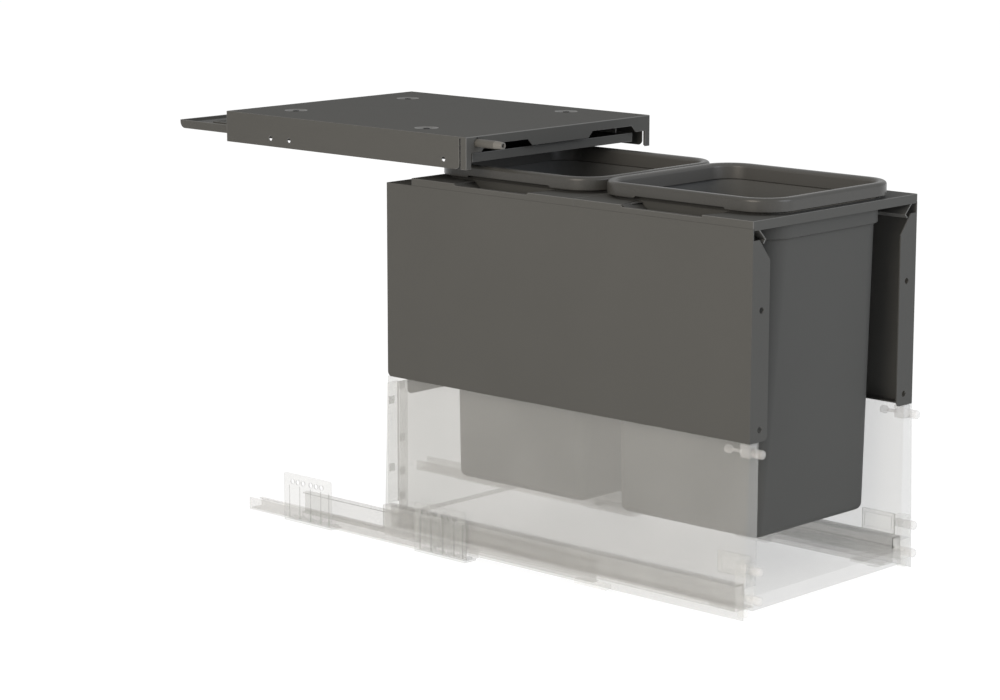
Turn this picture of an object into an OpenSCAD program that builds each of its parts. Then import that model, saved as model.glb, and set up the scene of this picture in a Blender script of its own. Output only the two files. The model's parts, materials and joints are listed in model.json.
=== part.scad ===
// Pull-out bin frame: a steel frame on a drawer box with two hanging bins,
// telescopic runners with their cabinet brackets, and a lid that a push rod lowers.
// Modelled pulled out. X runs across, Y runs from the front into the cabinet, Z is up.

/* [Cabinet] */
// Clear width between the cabinet walls
cabinet_w = 318; // [314:1:330]
// How far the drawer is pulled out of the cabinet
pulled_out = 400; // [360:1:430]

/* [Frame] */
// Gap between the frame and each cabinet wall
wall_gap = 13; // [12:0.5:14]
// Depth of the frame behind the second bin
rear_d = 40; // [36:1:60]
// Height of the side panels
panel_h = 228.6; // [215:0.2:232]
// Thickness of the steel sheet
sheet_t = 1.5; // [1.2:0.1:1.8]
// Width of the flange bent in along each front edge
flange_w = 29.5; // [27:0.5:33]
// Width of the flange at its top end
flange_top_w = 11.2; // [9:0.2:13]
// Height of the flange at its outer edge
flange_h = 216.2; // [205:0.2:218]
// Drop of the slanted corner of the flange
flange_slant = 22.6; // [15:0.2:30]
// Diameter of the screw holes in the flange
flange_hole_d = 7; // [5:0.5:8]
// Distance of those holes from the outer face
flange_hole_x = 16.2; // [14:0.2:20]
// Height of the lower hole
flange_hole_z = 13.2; // [10:0.2:20]
// Spacing of the two holes
flange_hole_pitch = 128; // [96:32:160]
// Width of the foot flange that stands on the drawer side
foot_w = 12; // [8:0.5:13]
// Radius of the rounded sheet corners
corner_r = 6; // [3:0.5:7]

/* [Top frame] */
// Height of the edge bent down round the top frame
top_h = 6.8; // [6:0.2:9]
// Width of the top frame beside an opening
rail_w = 36.5; // [35:0.5:38]
// Width of the top frame before and behind an opening
end_w = 5.5; // [5:0.1:6]
// Corner radius of the opening
opening_r = 39; // [36:1:44]
// Length of a finger grip at the outer face
grip_l = 112; // [90:1:130]
// Widening of a finger grip towards the bin, at each end
grip_flare = 8; // [4:1:12]
// Depth of a finger grip in the bent edge
grip_drop = 2.5; // [2:0.1:3]
// Depth of the slanted stiffening lip under the side rails
lip_d = 18; // [14:0.5:20]
// Length of the lip's folded return
lip_return = 4.5; // [3:0.5:6]
// Distance of the lip's root from the outer face
lip_root = 4.7; // [4:0.1:6]

/* [Bins] */
// Distance between the two bins, centre to centre
bin_pitch = 250; // [249:0.5:254]
// Gap round the collar in its opening
bin_play = 1.5; // [1:0.1:2]
// Height of the collar below the top frame
collar_h = 25.2; // [15:0.1:30]
// Width of the rim beyond the collar
rim_out = 4; // [3.5:0.1:4.6]
// Thickness of the rim
rim_t = 2.4; // [2:0.1:3.4]
// Corner radius of the collar
collar_r = 38; // [35:1:43]
// Set-back of the wall below the collar
wall_step = 4.5; // [3:0.1:5]
// Height from the bin's underside to the top frame
bin_h = 353.2; // [320:0.2:380]
// How far the side walls lean in down to the bottom
lean_side = 9.5; // [7:0.5:13]
// How far the end walls lean in down to the bottom
lean_end = 19.5; // [13:0.5:22]
// Corner radius of the bottom
bottom_r = 11; // [9:1:24]
// Rounding round the edge of the bottom
bottom_edge_r = 8; // [5:0.5:9]
// Wall thickness of a bin
bin_wall = 2.2; // [1.8:0.1:2.6]

/* [Bag rings] */
// How far a bag ring stands out beyond the collar at the sides
ring_out = 9; // [8:0.5:10]
// Gap between the two bag rings
ring_gap = 2; // [1:0.2:4]
// Outer corner radius of a bag ring
ring_r = 41; // [38:1:48]
// Height of the outer face of a bag ring
ring_h = 14.8; // [12:0.2:15]
// Width of a bag ring from its outer face to its inner foot
ring_band = 12.8; // [12:0.1:13.4]
// Wall thickness of a bag ring
ring_wall = 2.5; // [2:0.1:3]
// Gap under the ring's outer face
ring_lift = 5.3; // [4.5:0.1:6]
// Length of the finger notch in the ring's lower edge
ring_notch_l = 128; // [100:1:140]
// Height of that notch
ring_notch_h = 2.4; // [2:0.1:5]

/* [Lid] */
// Depth of the lid carrier
carrier_d = 402; // [390:1:410]
// Height of the carrier's top face above the top frame
carrier_rise = 57.7; // [56:0.1:62]
// Height of the carrier's side flanges
carrier_h = 37; // [32:0.5:38]
// Height of the lip across the carrier's front
front_lip_h = 18.3; // [17:0.1:20]
// Width of the carrier's front corner legs
leg_w = 8.5; // [7:0.5:10]
// Depth of the legs' bent sides
leg_d = 9; // [7:0.5:11]
// Slit between a leg and the side flange
leg_slit = 2; // [1.5:0.1:3]
// Depth of the two notches in the front lip
lip_notch_h = 7.6; // [6:0.1:8.4]
// Length of a notch along the lip's lower edge
lip_notch_l = 85; // [70:1:95]
// Distance of a notch from the carrier's side
lip_notch_in = 25.5; // [22:0.5:32]
// Diameter of the screw holes in the side flanges
carrier_hole_d = 5.5; // [4:0.1:6]
// Height of those holes above the flange's lower edge
carrier_hole_z = 9.7; // [8:0.1:14]
// Diameter of the dished screw seats in the top
dish_d = 28; // [24:0.5:30]
// Depth of the dished seats
dish_h = 2; // [1.5:0.1:2.4]
// Gap between the lid pan and each cabinet wall
pan_gap = 20.5; // [20:0.5:22]
// Length of the lid pan
pan_l = 501.6; // [495:0.2:505]
// Height of the lid pan's edge
pan_h = 10.4; // [9:0.1:11]
// Wall thickness of the lid pan
pan_wall = 1.5; // [1.2:0.1:2]
// Set-back of the pan behind the carrier's front
pan_setback = 9.7; // [8:0.1:12]
// Space between the pan's upper edge and the carrier's top face
pan_under = 20.4; // [20:0.1:21.5]

/* [Lowering gear] */
// Travel of the push rod
rod_travel = 40; // [30:1:42]
// Drop of the lid pan over that travel
pan_drop = 6.25; // [5:0.05:6.6]
// Diameter of the push rod
rod_d = 9.5; // [8:0.1:10]
// Distance of the rod from the carrier's side
rod_inset = 18.5; // [17:0.5:20]
// Depth of the rod's axis under the carrier's top face
rod_under = 7.7; // [7.2:0.1:8.2]
// Length of the rod's pale tip
tip_l = 12; // [8:0.5:16]
// Diameter of the guide posts
post_d = 10; // [8:0.1:11]
// Wall of the pan's guide sleeves
sleeve_wall = 2.2; // [1.6:0.1:2.6]
// Diameter of the cam pins and of the guide studs
pin_d = 5; // [4:0.1:5.4]
// Thickness of the cam slide's sheet
slide_t = 2; // [1.5:0.1:2.2]
// Distance of the cam slide from the carrier's front
slide_front = 28; // [24:1:32]
// Length of the cam slide
slide_l = 292; // [286:1:310]
// Width of the strip that joins the cam slide's bars
strip_w = 28; // [20:1:36]
// Distance of the front cam pins from the carrier's front
pin_front = 160; // [150:1:170]
// Spacing of the cam pins
pin_pitch = 140; // [130:1:145]
// Distance of the front guide studs from the carrier's front
stud_front = 82; // [78:1:90]
// Spacing of the guide studs
stud_pitch = 158; // [150:1:165]
// Radial clearance of a shaft in its bore
fit_c = 0.08; // [0.04:0.01:0.1]

/* [Drawer] */
// Thickness of the drawer sides at the top
side_t = 15; // [14:0.1:15.5]
// Height of the drawer sides above the runners
side_h = 156; // [150:1:165]
// How far the outer face leans out down to the skirt's edge
side_lean = 7; // [6.4:0.1:7.6]
// Wall thickness of the hollow drawer sides
side_wall = 1.2; // [1:0.1:1.4]
// Depth of the skirt beside the runner
skirt_h = 35; // [25:0.5:36]
// Thickness of the drawer bottom and back
board_t = 16; // [15:0.1:16.4]
// Depth of the drawer bottom's top face below the drawer sides' foot
bottom_drop = 12; // [10:0.5:13]
// Diameter of the dowels for the drawer front
dowel_d = 10; // [8:0.1:10]
// How far the dowels stand out
dowel_out = 14; // [10:0.5:16]
// Height of the lower dowel pair's middle above the drawer sides' foot
dowel_rise = 2; // [0:0.5:6]
// Spacing of the lower dowels
dowel_pitch = 32; // [28:1:34]

/* [Runners] */
// Length of the cabinet rails
rail_l = 370; // [350:1:400]
// Length of the middle rails
middle_l = 471; // [460:1:480]
// How far the middle rails stand out of the cabinet rails
middle_out = 187; // [180:1:188]
// Length of the guide block at a middle rail's front end
guide_l = 48; // [40:1:60]
// How far the guide block stands out before its rail
guide_out = 20; // [10:1:20]
// Distance between the cabinet's front edge and the rails
rail_setback = 3; // [2:0.5:6]
// Thickness of the rail sheet
rail_t = 1.5; // [1.2:0.1:1.6]
// Height of the cabinet rails
rail_h = 14.8; // [14:0.1:20]
// Rollers in each cage
roller_count = 6; // [4:1:8]
// Diameter of the lower rollers
low_roller_d = 5.9; // [5.6:0.05:6]
// Diameter of the upper rollers
up_roller_d = 6.2; // [5.8:0.05:6.3]
// Gap between a roller and the rails
roller_gap = 0.3; // [0.2:0.05:0.4]
// Length of a roller cage
cage_l = 210; // [160:1:215]
// Width of a wall bracket
bracket_w = 82; // [78:1:90]
// Height of a wall bracket above its foot
bracket_h = 57.5; // [50:0.5:60]
// Thickness of a wall bracket
bracket_t = 2; // [1.5:0.1:2.2]
// Distance between the two brackets of a side
bracket_pitch = 223; // [200:1:260]
// Diameter of the bracket screw holes
bracket_hole_d = 6.4; // [5:0.1:6.6]

/* [Hidden] */
$fn = 48;
hull_fn = 48;
eps = 0.01;
slack = 1;

// Spacing of the cabinet's hole grid
grid = 32;

dark_steel = "#55534e";
dark_plastic = "#4c4c4a";
rod_grey = "#77746c";
tip_grey = "#b4afa4";
see_through = "#cfcfca";
rail_zinc = "#b9b8ae";

// Widths, from the cabinet inwards, and lengths, from the bins' spacing
frame_w = cabinet_w - 2 * wall_gap;
opening_w = frame_w - 2 * rail_w;
collar_w = opening_w - 2 * bin_play;
bottom_w = collar_w - 2 * lean_side;
ring_w = collar_w + 2 * ring_out;
pan_w = cabinet_w - 2 * pan_gap;
frame_d = 2 * bin_pitch + rear_d;
opening_l = bin_pitch - 2 * end_w;
collar_l = opening_l - 2 * bin_play;
bottom_l = collar_l - 2 * lean_end;
ring_l = bin_pitch - ring_gap;

// Heights
frame_top = panel_h + top_h;
carrier_top = frame_top + carrier_rise;
plate_under = carrier_top - sheet_t;
pan_top = carrier_top - pan_under;
pan_bottom = pan_top - pan_h;
pan_floor = pan_bottom + pan_wall;
bin_bottom = frame_top - bin_h;
rail_top = -side_h;
board_top = -side_h - bottom_drop;
board_bottom = board_top - board_t;
foot_z = board_bottom - 14;

// Lid places
carrier_y = pulled_out;
pan_y = carrier_y + pan_setback;
post_under = plate_under - dish_h;
post_end = pan_floor + 0.5;
lip_notch_x = cabinet_w / 2 - lip_notch_in - lip_notch_l / 2;
front_post_in = 18;
front_post_back = 100;
rear_post_in = 42.5;
rear_post_front = 56;
front_post = [pan_w / 2 - front_post_in, front_post_back];
rear_post = [pan_w / 2 - rear_post_in, carrier_d - rear_post_front];
first_hole = 36;
carrier_holes = [first_hole, first_hole + 8 * grid, first_hole + 9 * grid];
pad_w = 40;
pad_l = 30;
pad_x = 75;
pad_end = 12;
slide_x = pan_w / 2 - 9;
ear_x = slide_x - slide_t / 2 - 1.5;
tab_x = slide_x + slide_t / 2 + 1.5;
pin_z = carrier_top - 9.6;
stud_z = carrier_top - 11;
pin_places = [pin_front, pin_front + pin_pitch];
stud_places = [stud_front, stud_front + stud_pitch];
slide_back = slide_front + slide_l;
strip_y = carrier_y + (pin_front + pin_places[1] - rod_travel - strip_w) / 2 - 6;
slide_top = post_under - 0.7;
slide_bottom = pin_z - pan_drop - pin_d / 2 - 3;
slot_c = 0.1;
rod_x = cabinet_w / 2 - rod_inset;
rod_z = carrier_top - rod_under;

// Bin places
bin_mid = bin_pitch / 2;
rim_w = collar_w + 2 * rim_out;
rim_l = collar_l + 2 * rim_out;
rim_r = collar_r + rim_out;
ring_base = frame_top + ring_lift;
ring_top = ring_base + ring_h;

// Rail sections, as distances from the middle plane
skirt_x = frame_w / 2 + side_lean;
foot_x = frame_w / 2 + side_lean * side_h / (side_h + skirt_h);
inner_x = frame_w / 2 - side_t;
rail_in = inner_x + 3.8;
rail_out = foot_x - side_wall - 0.5;
middle_web_x = rail_in + rail_t + 6.2;
middle_top_x = [rail_in + 3.2, rail_out - rail_t - 0.9];
middle_foot_x = [rail_in + 4.2, rail_out - 1];
cab_out = cabinet_w / 2 - bracket_t;
cab_in = rail_in + 1.2;
low_gap = low_roller_d + 2 * roller_gap;
up_gap = up_roller_d + 2 * roller_gap;
drawer_rail_under = rail_top - rail_t;
middle_top = drawer_rail_under - up_gap;
cab_floor = foot_z + rail_t;
middle_foot = cab_floor + low_gap;
cab_top = foot_z + rail_h;
rail_y = pulled_out + rail_setback;
middle_y = rail_y - middle_out;
low_cage_in = 42;
up_cage_in = 40;
low_cage_y = rail_y + low_cage_in;
up_cage_y = middle_y + up_cage_in;
bracket_y = rail_y;
bracket_low = foot_z - bracket_t;
dowel_z = side_h - dowel_rise;
dowel_x = frame_w / 2 - 6.5;
root_d = dowel_d - 0.6;
upper_dowel_z = -10.5;
fixing_d = 14;
shank_l = 16;
head_l = 6;
cover_y = 8;
cover_l = 45;
cover_h = 24;
cover_low = rail_top + 6;
rail_rear = frame_d + 6;
back_y = frame_d - 3.5 - board_t;
back_top = -8;
holder_w = 14.2;
clip_w = 8;
clip_h = 9;
clip_t = 1.2;
// Heights of the clips, as shares of a drawer side's height
leaf_clips = [0.0865, 0.4936, 0.7564, 0.9519];
end_clips = [0.1923, 0.7179];
catch_y = 22;
catch_l = 40;
catch_w = 14;
catch_t = 3.5;
tongue_w = inner_x - holder_w - 1.2;
tongue_h = 26;
rear_flange_h = 217;
seam = 0.4;

// The middle of the whole in depth and its lowest level
origin_y = (pan_y + pan_l - dowel_out) / 2;
origin_z = bracket_low;

// The finished part stands with its origin under its middle
module at_origin() translate([0, -origin_y, -origin_z]) children();

// What is modelled on the left is turned over for the right
module sided(side) mirror([side == "right" ? 1 : 0, 0, 0]) children();

module both_sides() for (side = ["left", "right"]) sided(side) children();

// A block given by its least and greatest corner
module block(low, high) translate(low) cube(high - low);

// A rounded rectangle about the origin
module rounded_plate(w, l, r) {
    square([w - 2 * r, l], center = true);
    square([w, l - 2 * r], center = true);
    for (x = [-1, 1], y = [-1, 1]) translate([x * (w / 2 - r), y * (l / 2 - r)]) circle(r);
}

// What is cut off to round the corner of a square edge
module corner_waste(r) difference() {
    translate([-slack, -slack]) square(r + slack);
    translate([r, r]) circle(r);
}

// A section (distance in from the outer face, height) swept round a rounded rectangle
module swept_round(w, l, r) {
    for (turn = [0, 180]) rotate(turn) {
        translate([-w / 2, l / 2 - r, 0]) rotate([90, 0, 0]) linear_extrude(l - 2 * r) children();
        translate([-w / 2 + r, -l / 2, 0]) rotate([90, 0, 90]) linear_extrude(w - 2 * r) children();
    }
    for (x = [-1, 1], y = [-1, 1]) translate([x * (w / 2 - r), y * (l / 2 - r), 0])
        rotate(x > 0 ? (y > 0 ? 0 : 270) : (y > 0 ? 90 : 180))
            rotate_extrude(angle = 90) translate([r, 0]) mirror([1, 0]) children();
}

// A profile drawn as (X, Z) and pulled along Y
module along_y(y0, y1) translate([0, y1, 0]) rotate([90, 0, 0]) linear_extrude(y1 - y0) children();

// A pin along X
module x_pin(x0, x1, y, z, d) translate([x0, y, z]) rotate([0, 90, 0]) cylinder(d = d, h = x1 - x0);

// A pin along Y
module y_pin(x, y0, y1, z, d) translate([x, y1, z]) rotate([90, 0, 0]) cylinder(d = d, h = y1 - y0);

// A slot with round ends through a sheet that stands across X
module x_slot(x0, x1, from, to, d) {
    x_pin(x0, x1, from[0], from[1], d);
    x_pin(x0, x1, to[0], to[1], d);
    run = to - from;
    translate([x0, from[0], from[1]]) rotate([atan2(run[1], run[0]), 0, 0])
        translate([0, 0, -d / 2 + eps]) cube([x1 - x0, norm(run), d - 2 * eps]);
}

// Lid carrier: plate with dished screw seats, side flanges, front lip and corner legs
module dish() rotate_extrude() polygon([
    [carrier_hole_d / 2, -sheet_t - dish_h], [dish_d / 2 - 5, -sheet_t - dish_h],
    [dish_d / 2, -sheet_t], [dish_d / 2 + 2, -sheet_t], [dish_d / 2 + 2, 0], [dish_d / 2, 0],
    [dish_d / 2 - 5, -dish_h], [carrier_hole_d / 2, -dish_h]]);

module at_posts() for (p = [front_post, rear_post], x = [-1, 1])
    translate([x * p[0], carrier_y + p[1], 0]) children();

module carrier_flange() difference() {
    along_x_sheet(cabinet_w / 2) difference() {
        translate([carrier_y + leg_d + leg_slit, carrier_top - carrier_h])
            square([carrier_d - leg_d - leg_slit, carrier_h]);
        translate([carrier_y + leg_d + leg_slit, carrier_top - carrier_h]) corner_waste(corner_r);
    }
    for (y = carrier_holes) x_pin(-cabinet_w / 2 - slack, -cabinet_w / 2 + sheet_t + slack,
        carrier_y + y, carrier_top - carrier_h + carrier_hole_z, carrier_hole_d);
}

// A sheet drawn as (Y, Z) whose outer face lies at the given distance to the left
module along_x_sheet(x) translate([-x, 0, 0]) rotate([90, 0, 90]) linear_extrude(sheet_t) children();

module stud_tab() block([-tab_x - sheet_t, -8, stud_z - pin_d / 2 - 3], [-tab_x, 8, plate_under + eps]);

module front_lip_notch() polygon([[-lip_notch_l / 2, -slack], [lip_notch_l / 2, -slack],
    [lip_notch_l / 2, 0], [lip_notch_l / 2 - lip_notch_h, lip_notch_h],
    [-lip_notch_l / 2 + lip_notch_h, lip_notch_h], [-lip_notch_l / 2, 0]]);

module lid_carrier() color(dark_steel) {
    difference() {
        union() {
            block([-cabinet_w / 2, carrier_y, plate_under],
                [cabinet_w / 2, carrier_y + carrier_d, carrier_top]);
            both_sides() carrier_flange();
            block([-cabinet_w / 2, carrier_y, carrier_top - front_lip_h],
                [cabinet_w / 2, carrier_y + sheet_t, carrier_top]);
            block([-cabinet_w / 2, carrier_y + carrier_d - sheet_t, plate_under - lip_notch_h],
                [cabinet_w / 2, carrier_y + carrier_d, carrier_top]);
            both_sides() {
                block([-cabinet_w / 2, carrier_y, carrier_top - carrier_h],
                    [-cabinet_w / 2 + leg_w, carrier_y + sheet_t, carrier_top]);
                block([-cabinet_w / 2, carrier_y, carrier_top - carrier_h],
                    [-cabinet_w / 2 + sheet_t, carrier_y + leg_d, carrier_top]);
                for (y = stud_places) translate([0, carrier_y + y, 0]) stud_tab();
            }
        }
        at_posts() translate([0, 0, plate_under - slack]) cylinder(d = dish_d, h = sheet_t + 2 * slack);
        along_y(carrier_y - slack, carrier_y + sheet_t + slack) for (x = [-1, 1])
            translate([x * lip_notch_x, carrier_top - front_lip_h]) front_lip_notch();
        y_pin(-rod_x, carrier_y - slack, carrier_y + sheet_t + slack, rod_z, rod_d + 1);
        block([-rod_x - 2, carrier_y - slack, rod_z],
            [-rod_x + 2, carrier_y + sheet_t + slack, plate_under]);
        both_sides() for (y = stud_places)
            x_pin(-tab_x - sheet_t - slack, -tab_x + slack, carrier_y + y, stud_z, pin_d + 2 * fit_c);
    }
    at_posts() translate([0, 0, carrier_top]) dish();
}

// Guide posts that hang under the dished seats
module guide_posts() color(rail_zinc) at_posts() difference() {
    translate([0, 0, post_end]) cylinder(d = post_d, h = post_under - post_end);
    translate([0, 0, post_under - 9]) cylinder(d = carrier_hole_d - 0.4, h = 9 + slack);
}

// Countersunk screws from above into the posts
module post_screws() color(rail_zinc) at_posts() {
    translate([0, 0, post_under - 8]) cylinder(d = carrier_hole_d - 0.5, h = 8 + sheet_t);
    difference() {
        translate([0, 0, post_under + sheet_t]) cylinder(d1 = 9, d2 = 7, h = dish_h - 0.2);
        translate([0, 0, post_under + sheet_t + 0.6]) cylinder(d = 3, h = dish_h, $fn = 6);
    }
}

// Guide block of the push rod, behind the carrier's front lip
module plunger_guide() color(dark_plastic) difference() {
    block([-rod_x - 8, carrier_y + sheet_t, rod_z - rod_d / 2 - 2.4],
        [-rod_x + 8, carrier_y + sheet_t + 17, plate_under]);
    y_pin(-rod_x, carrier_y, carrier_y + sheet_t + 18, rod_z, rod_d + 2 * fit_c);
}

// Studs on the carrier's tabs that carry the cam slide
module guide_studs() color(rail_zinc) both_sides() for (y = stud_places) {
    x_pin(-tab_x - sheet_t, -slide_x + slide_t / 2 + 0.4, carrier_y + y, stud_z, pin_d);
    x_pin(-tab_x - sheet_t - 1.2, -tab_x - sheet_t, carrier_y + y, stud_z, pin_d + 3);
    x_pin(-slide_x + slide_t / 2 + 0.4, -slide_x + slide_t / 2 + 1.6, carrier_y + y, stud_z, pin_d + 2);
}

// Push rod and its pale hollow tip
module plunger() color(rod_grey)
    y_pin(-rod_x, carrier_y - rod_travel + tip_l, carrier_y + slide_front, rod_z, rod_d);

module plunger_tip() color(tip_grey)
    translate([-rod_x, carrier_y - rod_travel + tip_l, rod_z]) rotate([90, 0, 0]) difference() {
        cylinder(d1 = rod_d, d2 = rod_d - 1.6, h = tip_l);
        translate([0, 0, tip_l - 6]) cylinder(d = rod_d - 5, h = 6 + slack);
    }

// Cam slide: two upright bars with slanted slots, joined by a cross strip
module cam_bar() difference() {
    block([-slide_x - slide_t / 2, carrier_y + slide_front, slide_bottom],
        [-slide_x + slide_t / 2, carrier_y + slide_back, slide_top]);
    for (y = pin_places) x_slot(-slide_x - slide_t, -slide_x + slide_t,
        [carrier_y + y + slot_c, pin_z], [carrier_y + y - rod_travel - slot_c, pin_z - pan_drop],
        pin_d + 2 * slot_c);
    for (y = stud_places) x_slot(-slide_x - slide_t, -slide_x + slide_t,
        [carrier_y + y - rod_travel - slot_c, stud_z], [carrier_y + y + slot_c, stud_z],
        pin_d + 2 * slot_c);
}

module cam_slide() color(rail_zinc) {
    both_sides() cam_bar();
    block([-slide_x - slide_t / 2, strip_y, slide_top - slide_t],
        [slide_x + slide_t / 2, strip_y + strip_w, slide_top]);
    block([-rod_x - rod_d / 2, carrier_y + slide_front, rod_z - rod_d / 2],
        [-slide_x + slide_t / 2, carrier_y + slide_front + slide_t, slide_top]);
}

// Lid pan: shallow tray with guide sleeves and ears for the cam pins
module pan_outline(inset) difference() {
    translate([pan_y + inset, pan_bottom + inset]) square([pan_l - 2 * inset, pan_h]);
    translate([pan_y + pan_l - inset, pan_bottom + inset]) mirror([1, 0]) corner_waste(pan_h - 2.4 - inset);
}

module pan_ear(y) difference() {
    block([-ear_x, carrier_y + y - 12, pan_bottom + eps],
        [-ear_x + slide_t, carrier_y + y + 12, slide_top - 1]);
    x_pin(-ear_x - slack, -ear_x + slide_t + slack, carrier_y + y, pin_z, pin_d + 2 * fit_c);
}

module lid_pan() color(dark_steel) {
    difference() {
        translate([-pan_w / 2, 0, 0]) rotate([90, 0, 90]) linear_extrude(pan_w) pan_outline(0);
        translate([-pan_w / 2 + pan_wall, 0, 0]) rotate([90, 0, 90])
            linear_extrude(pan_w - 2 * pan_wall) pan_outline(pan_wall);
    }
    at_posts() difference() {
        translate([0, 0, pan_bottom + eps])
            cylinder(d = post_d + 2 * sleeve_wall, h = slide_top - 2 - pan_bottom);
        translate([0, 0, pan_floor]) cylinder(d = post_d + 2 * fit_c, h = slide_top - pan_bottom);
    }
    both_sides() for (y = pin_places) pan_ear(y);
    block([-pad_x - pad_w / 2, pan_y + pan_l - pad_end - pad_l, pan_bottom + eps],
        [-pad_x + pad_w / 2, pan_y + pan_l - pad_end, pan_floor + 4]);
}

// Cam pins in the pan's ears
module cam_pins() color(rail_zinc) both_sides() for (y = pin_places) {
    x_pin(-slide_x - slide_t / 2 - 0.6, -ear_x + slide_t, carrier_y + y, pin_z, pin_d);
    x_pin(-ear_x + slide_t, -ear_x + slide_t + 1.5, carrier_y + y, pin_z, pin_d + 3);
}

// Wall bracket: plate with two groups of three holes, pressed grooves and a beaded foot
hole_steps = [17.1, 26.3, 35.5, 17.1 + grid, 26.3 + grid, 35.5 + grid];
groove_steps = [5, 19, 37, 56, 74];
scallop_steps = [4, 19.5, 34, 48, 62.5, 78];

module wall_bracket(y0) color(see_through) translate([0, y0, 0]) {
    difference() {
        along_x_bracket() difference() {
            translate([0, bracket_low]) square([bracket_w, bracket_h + bracket_t]);
            translate([0, bracket_low + bracket_h + bracket_t]) mirror([0, 1]) corner_waste(3);
            translate([bracket_w, bracket_low + bracket_h + bracket_t]) rotate(180) corner_waste(3);
        }
        for (y = hole_steps) x_pin(-cabinet_w / 2 - slack, -cabinet_w / 2 + bracket_t + slack,
            y, foot_z + bracket_h - 9.8, bracket_hole_d);
        for (y = groove_steps) block([-cabinet_w / 2 + bracket_t - 0.6, y - 0.5, foot_z + 2],
            [-cabinet_w / 2 + bracket_t + slack, y + 0.5, foot_z + bracket_h - 15]);
    }
    difference() {
        block([-cabinet_w / 2, 0, bracket_low], [-cab_in - 1, bracket_w, foot_z]);
        for (y = scallop_steps) translate([-cab_in - 1, y, bracket_low - slack])
            cylinder(r = 5, h = bracket_t + 2 * slack);
    }
}

module along_x_bracket() translate([-cabinet_w / 2, 0, 0]) rotate([90, 0, 90])
    linear_extrude(bracket_t) children();

module bracket_front_left() sided("left") wall_bracket(bracket_y);
module bracket_front_right() sided("right") wall_bracket(bracket_y);
module bracket_rear_left() sided("left") wall_bracket(bracket_y + bracket_pitch);
module bracket_rear_right() sided("right") wall_bracket(bracket_y + bracket_pitch);

// Cabinet rail: channel whose folded inner lip keeps the middle rail down
module cabinet_rail(side) color(rail_zinc) sided(side) along_y(rail_y, rail_y + rail_l) {
    lip_z = middle_foot + rail_t + 0.8;
    translate([-cab_out, foot_z]) square([cab_out - cab_in, rail_t]);
    translate([-cab_out, foot_z]) square([rail_t, cab_top - foot_z]);
    translate([-cab_in - rail_t, foot_z]) square([rail_t, lip_z + 1.2 - foot_z]);
    translate([-cab_in - 5, lip_z]) square([5, 1.2]);
}

module cabinet_rail_left() cabinet_rail("left");
module cabinet_rail_right() cabinet_rail("right");

// Middle rail: upright web with a head for the drawer rail and a foot in the cabinet rail
module middle_rail(side) color(rail_zinc) sided(side) along_y(middle_y, middle_y + middle_l) {
    translate([-middle_foot_x[1], middle_foot]) square([middle_foot_x[1] - middle_foot_x[0], rail_t]);
    translate([-middle_web_x - rail_t, middle_foot]) square([rail_t, middle_top - middle_foot]);
    translate([-middle_top_x[1], middle_top - rail_t]) square([middle_top_x[1] - middle_top_x[0], rail_t]);
}

module middle_rail_left() middle_rail("left");
module middle_rail_right() middle_rail("right");

// Guide block under the front end of a middle rail
module middle_block(side) color(see_through) sided(side)
    block([-middle_foot_x[1], middle_y - guide_out, cab_floor + 1],
        [-middle_foot_x[0], middle_y - guide_out + guide_l, middle_foot]);

module middle_block_left() middle_block("left");
module middle_block_right() middle_block("right");

// Drawer rail: folded round the middle rail's head, with a ledge for the drawer bottom
module drawer_rail(side) color(rail_zinc) sided(side) along_y(fixing_d, rail_rear) {
    hook_z = middle_top - 2 * rail_t - 1;
    translate([-rail_out, rail_top - rail_t]) square([rail_out - rail_in, rail_t]);
    translate([-rail_out, board_bottom]) square([rail_t, rail_top - board_bottom]);
    translate([-rail_in - rail_t, board_bottom - rail_t])
        square([rail_t, rail_top - board_bottom + rail_t]);
    translate([-rail_in - rail_t - 4, hook_z]) square([4 + eps, rail_t]);
    translate([-rail_in - rail_t, board_bottom - rail_t]) square([19, rail_t]);
}

module drawer_rail_left() drawer_rail("left");
module drawer_rail_right() drawer_rail("right");

// Roller cages: a strip with a window for each roller
module cage(y0, x0, x1, z, thick, d) difference() {
    block([-x1, y0, z - thick / 2], [-x0, y0 + cage_l, z + thick / 2]);
    for (i = [0 : roller_count - 1]) translate([0, y0 + (i + 0.5) * cage_l / roller_count, 0])
        block([-x1 + 1, -d / 2 - 0.25, z - thick], [-x0 - 1, d / 2 + 0.25, z + thick]);
}

module cage_rollers(y0, x0, x1, z, d) for (i = [0 : roller_count - 1])
    x_pin(-x1 + 1.25, -x0 - 1.25, y0 + (i + 0.5) * cage_l / roller_count, z, d);

low_cage_x = [middle_foot_x[0], middle_foot_x[1]];
up_cage_x = [middle_top_x[0], middle_top_x[1]];
low_roller_z = cab_floor + low_gap / 2;
up_roller_z = middle_top + up_gap / 2;

module lower_cage(side) color(dark_plastic) sided(side)
    cage(low_cage_y, low_cage_x[0], low_cage_x[1], low_roller_z, 2.4, low_roller_d);
module lower_rollers(side) color(tip_grey) sided(side)
    cage_rollers(low_cage_y, low_cage_x[0], low_cage_x[1], low_roller_z, low_roller_d);
module upper_cage(side) color(dark_plastic) sided(side)
    cage(up_cage_y, up_cage_x[0], up_cage_x[1], up_roller_z, 1.6, up_roller_d);
module upper_rollers(side) color(tip_grey) sided(side)
    cage_rollers(up_cage_y, up_cage_x[0], up_cage_x[1], up_roller_z, up_roller_d);

module lower_cage_left() lower_cage("left");
module lower_cage_right() lower_cage("right");
module lower_rollers_left() lower_rollers("left");
module lower_rollers_right() lower_rollers("right");
module upper_cage_left() upper_cage("left");
module upper_cage_right() upper_cage("right");
module upper_rollers_left() upper_rollers("left");
module upper_rollers_right() upper_rollers("right");

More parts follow.
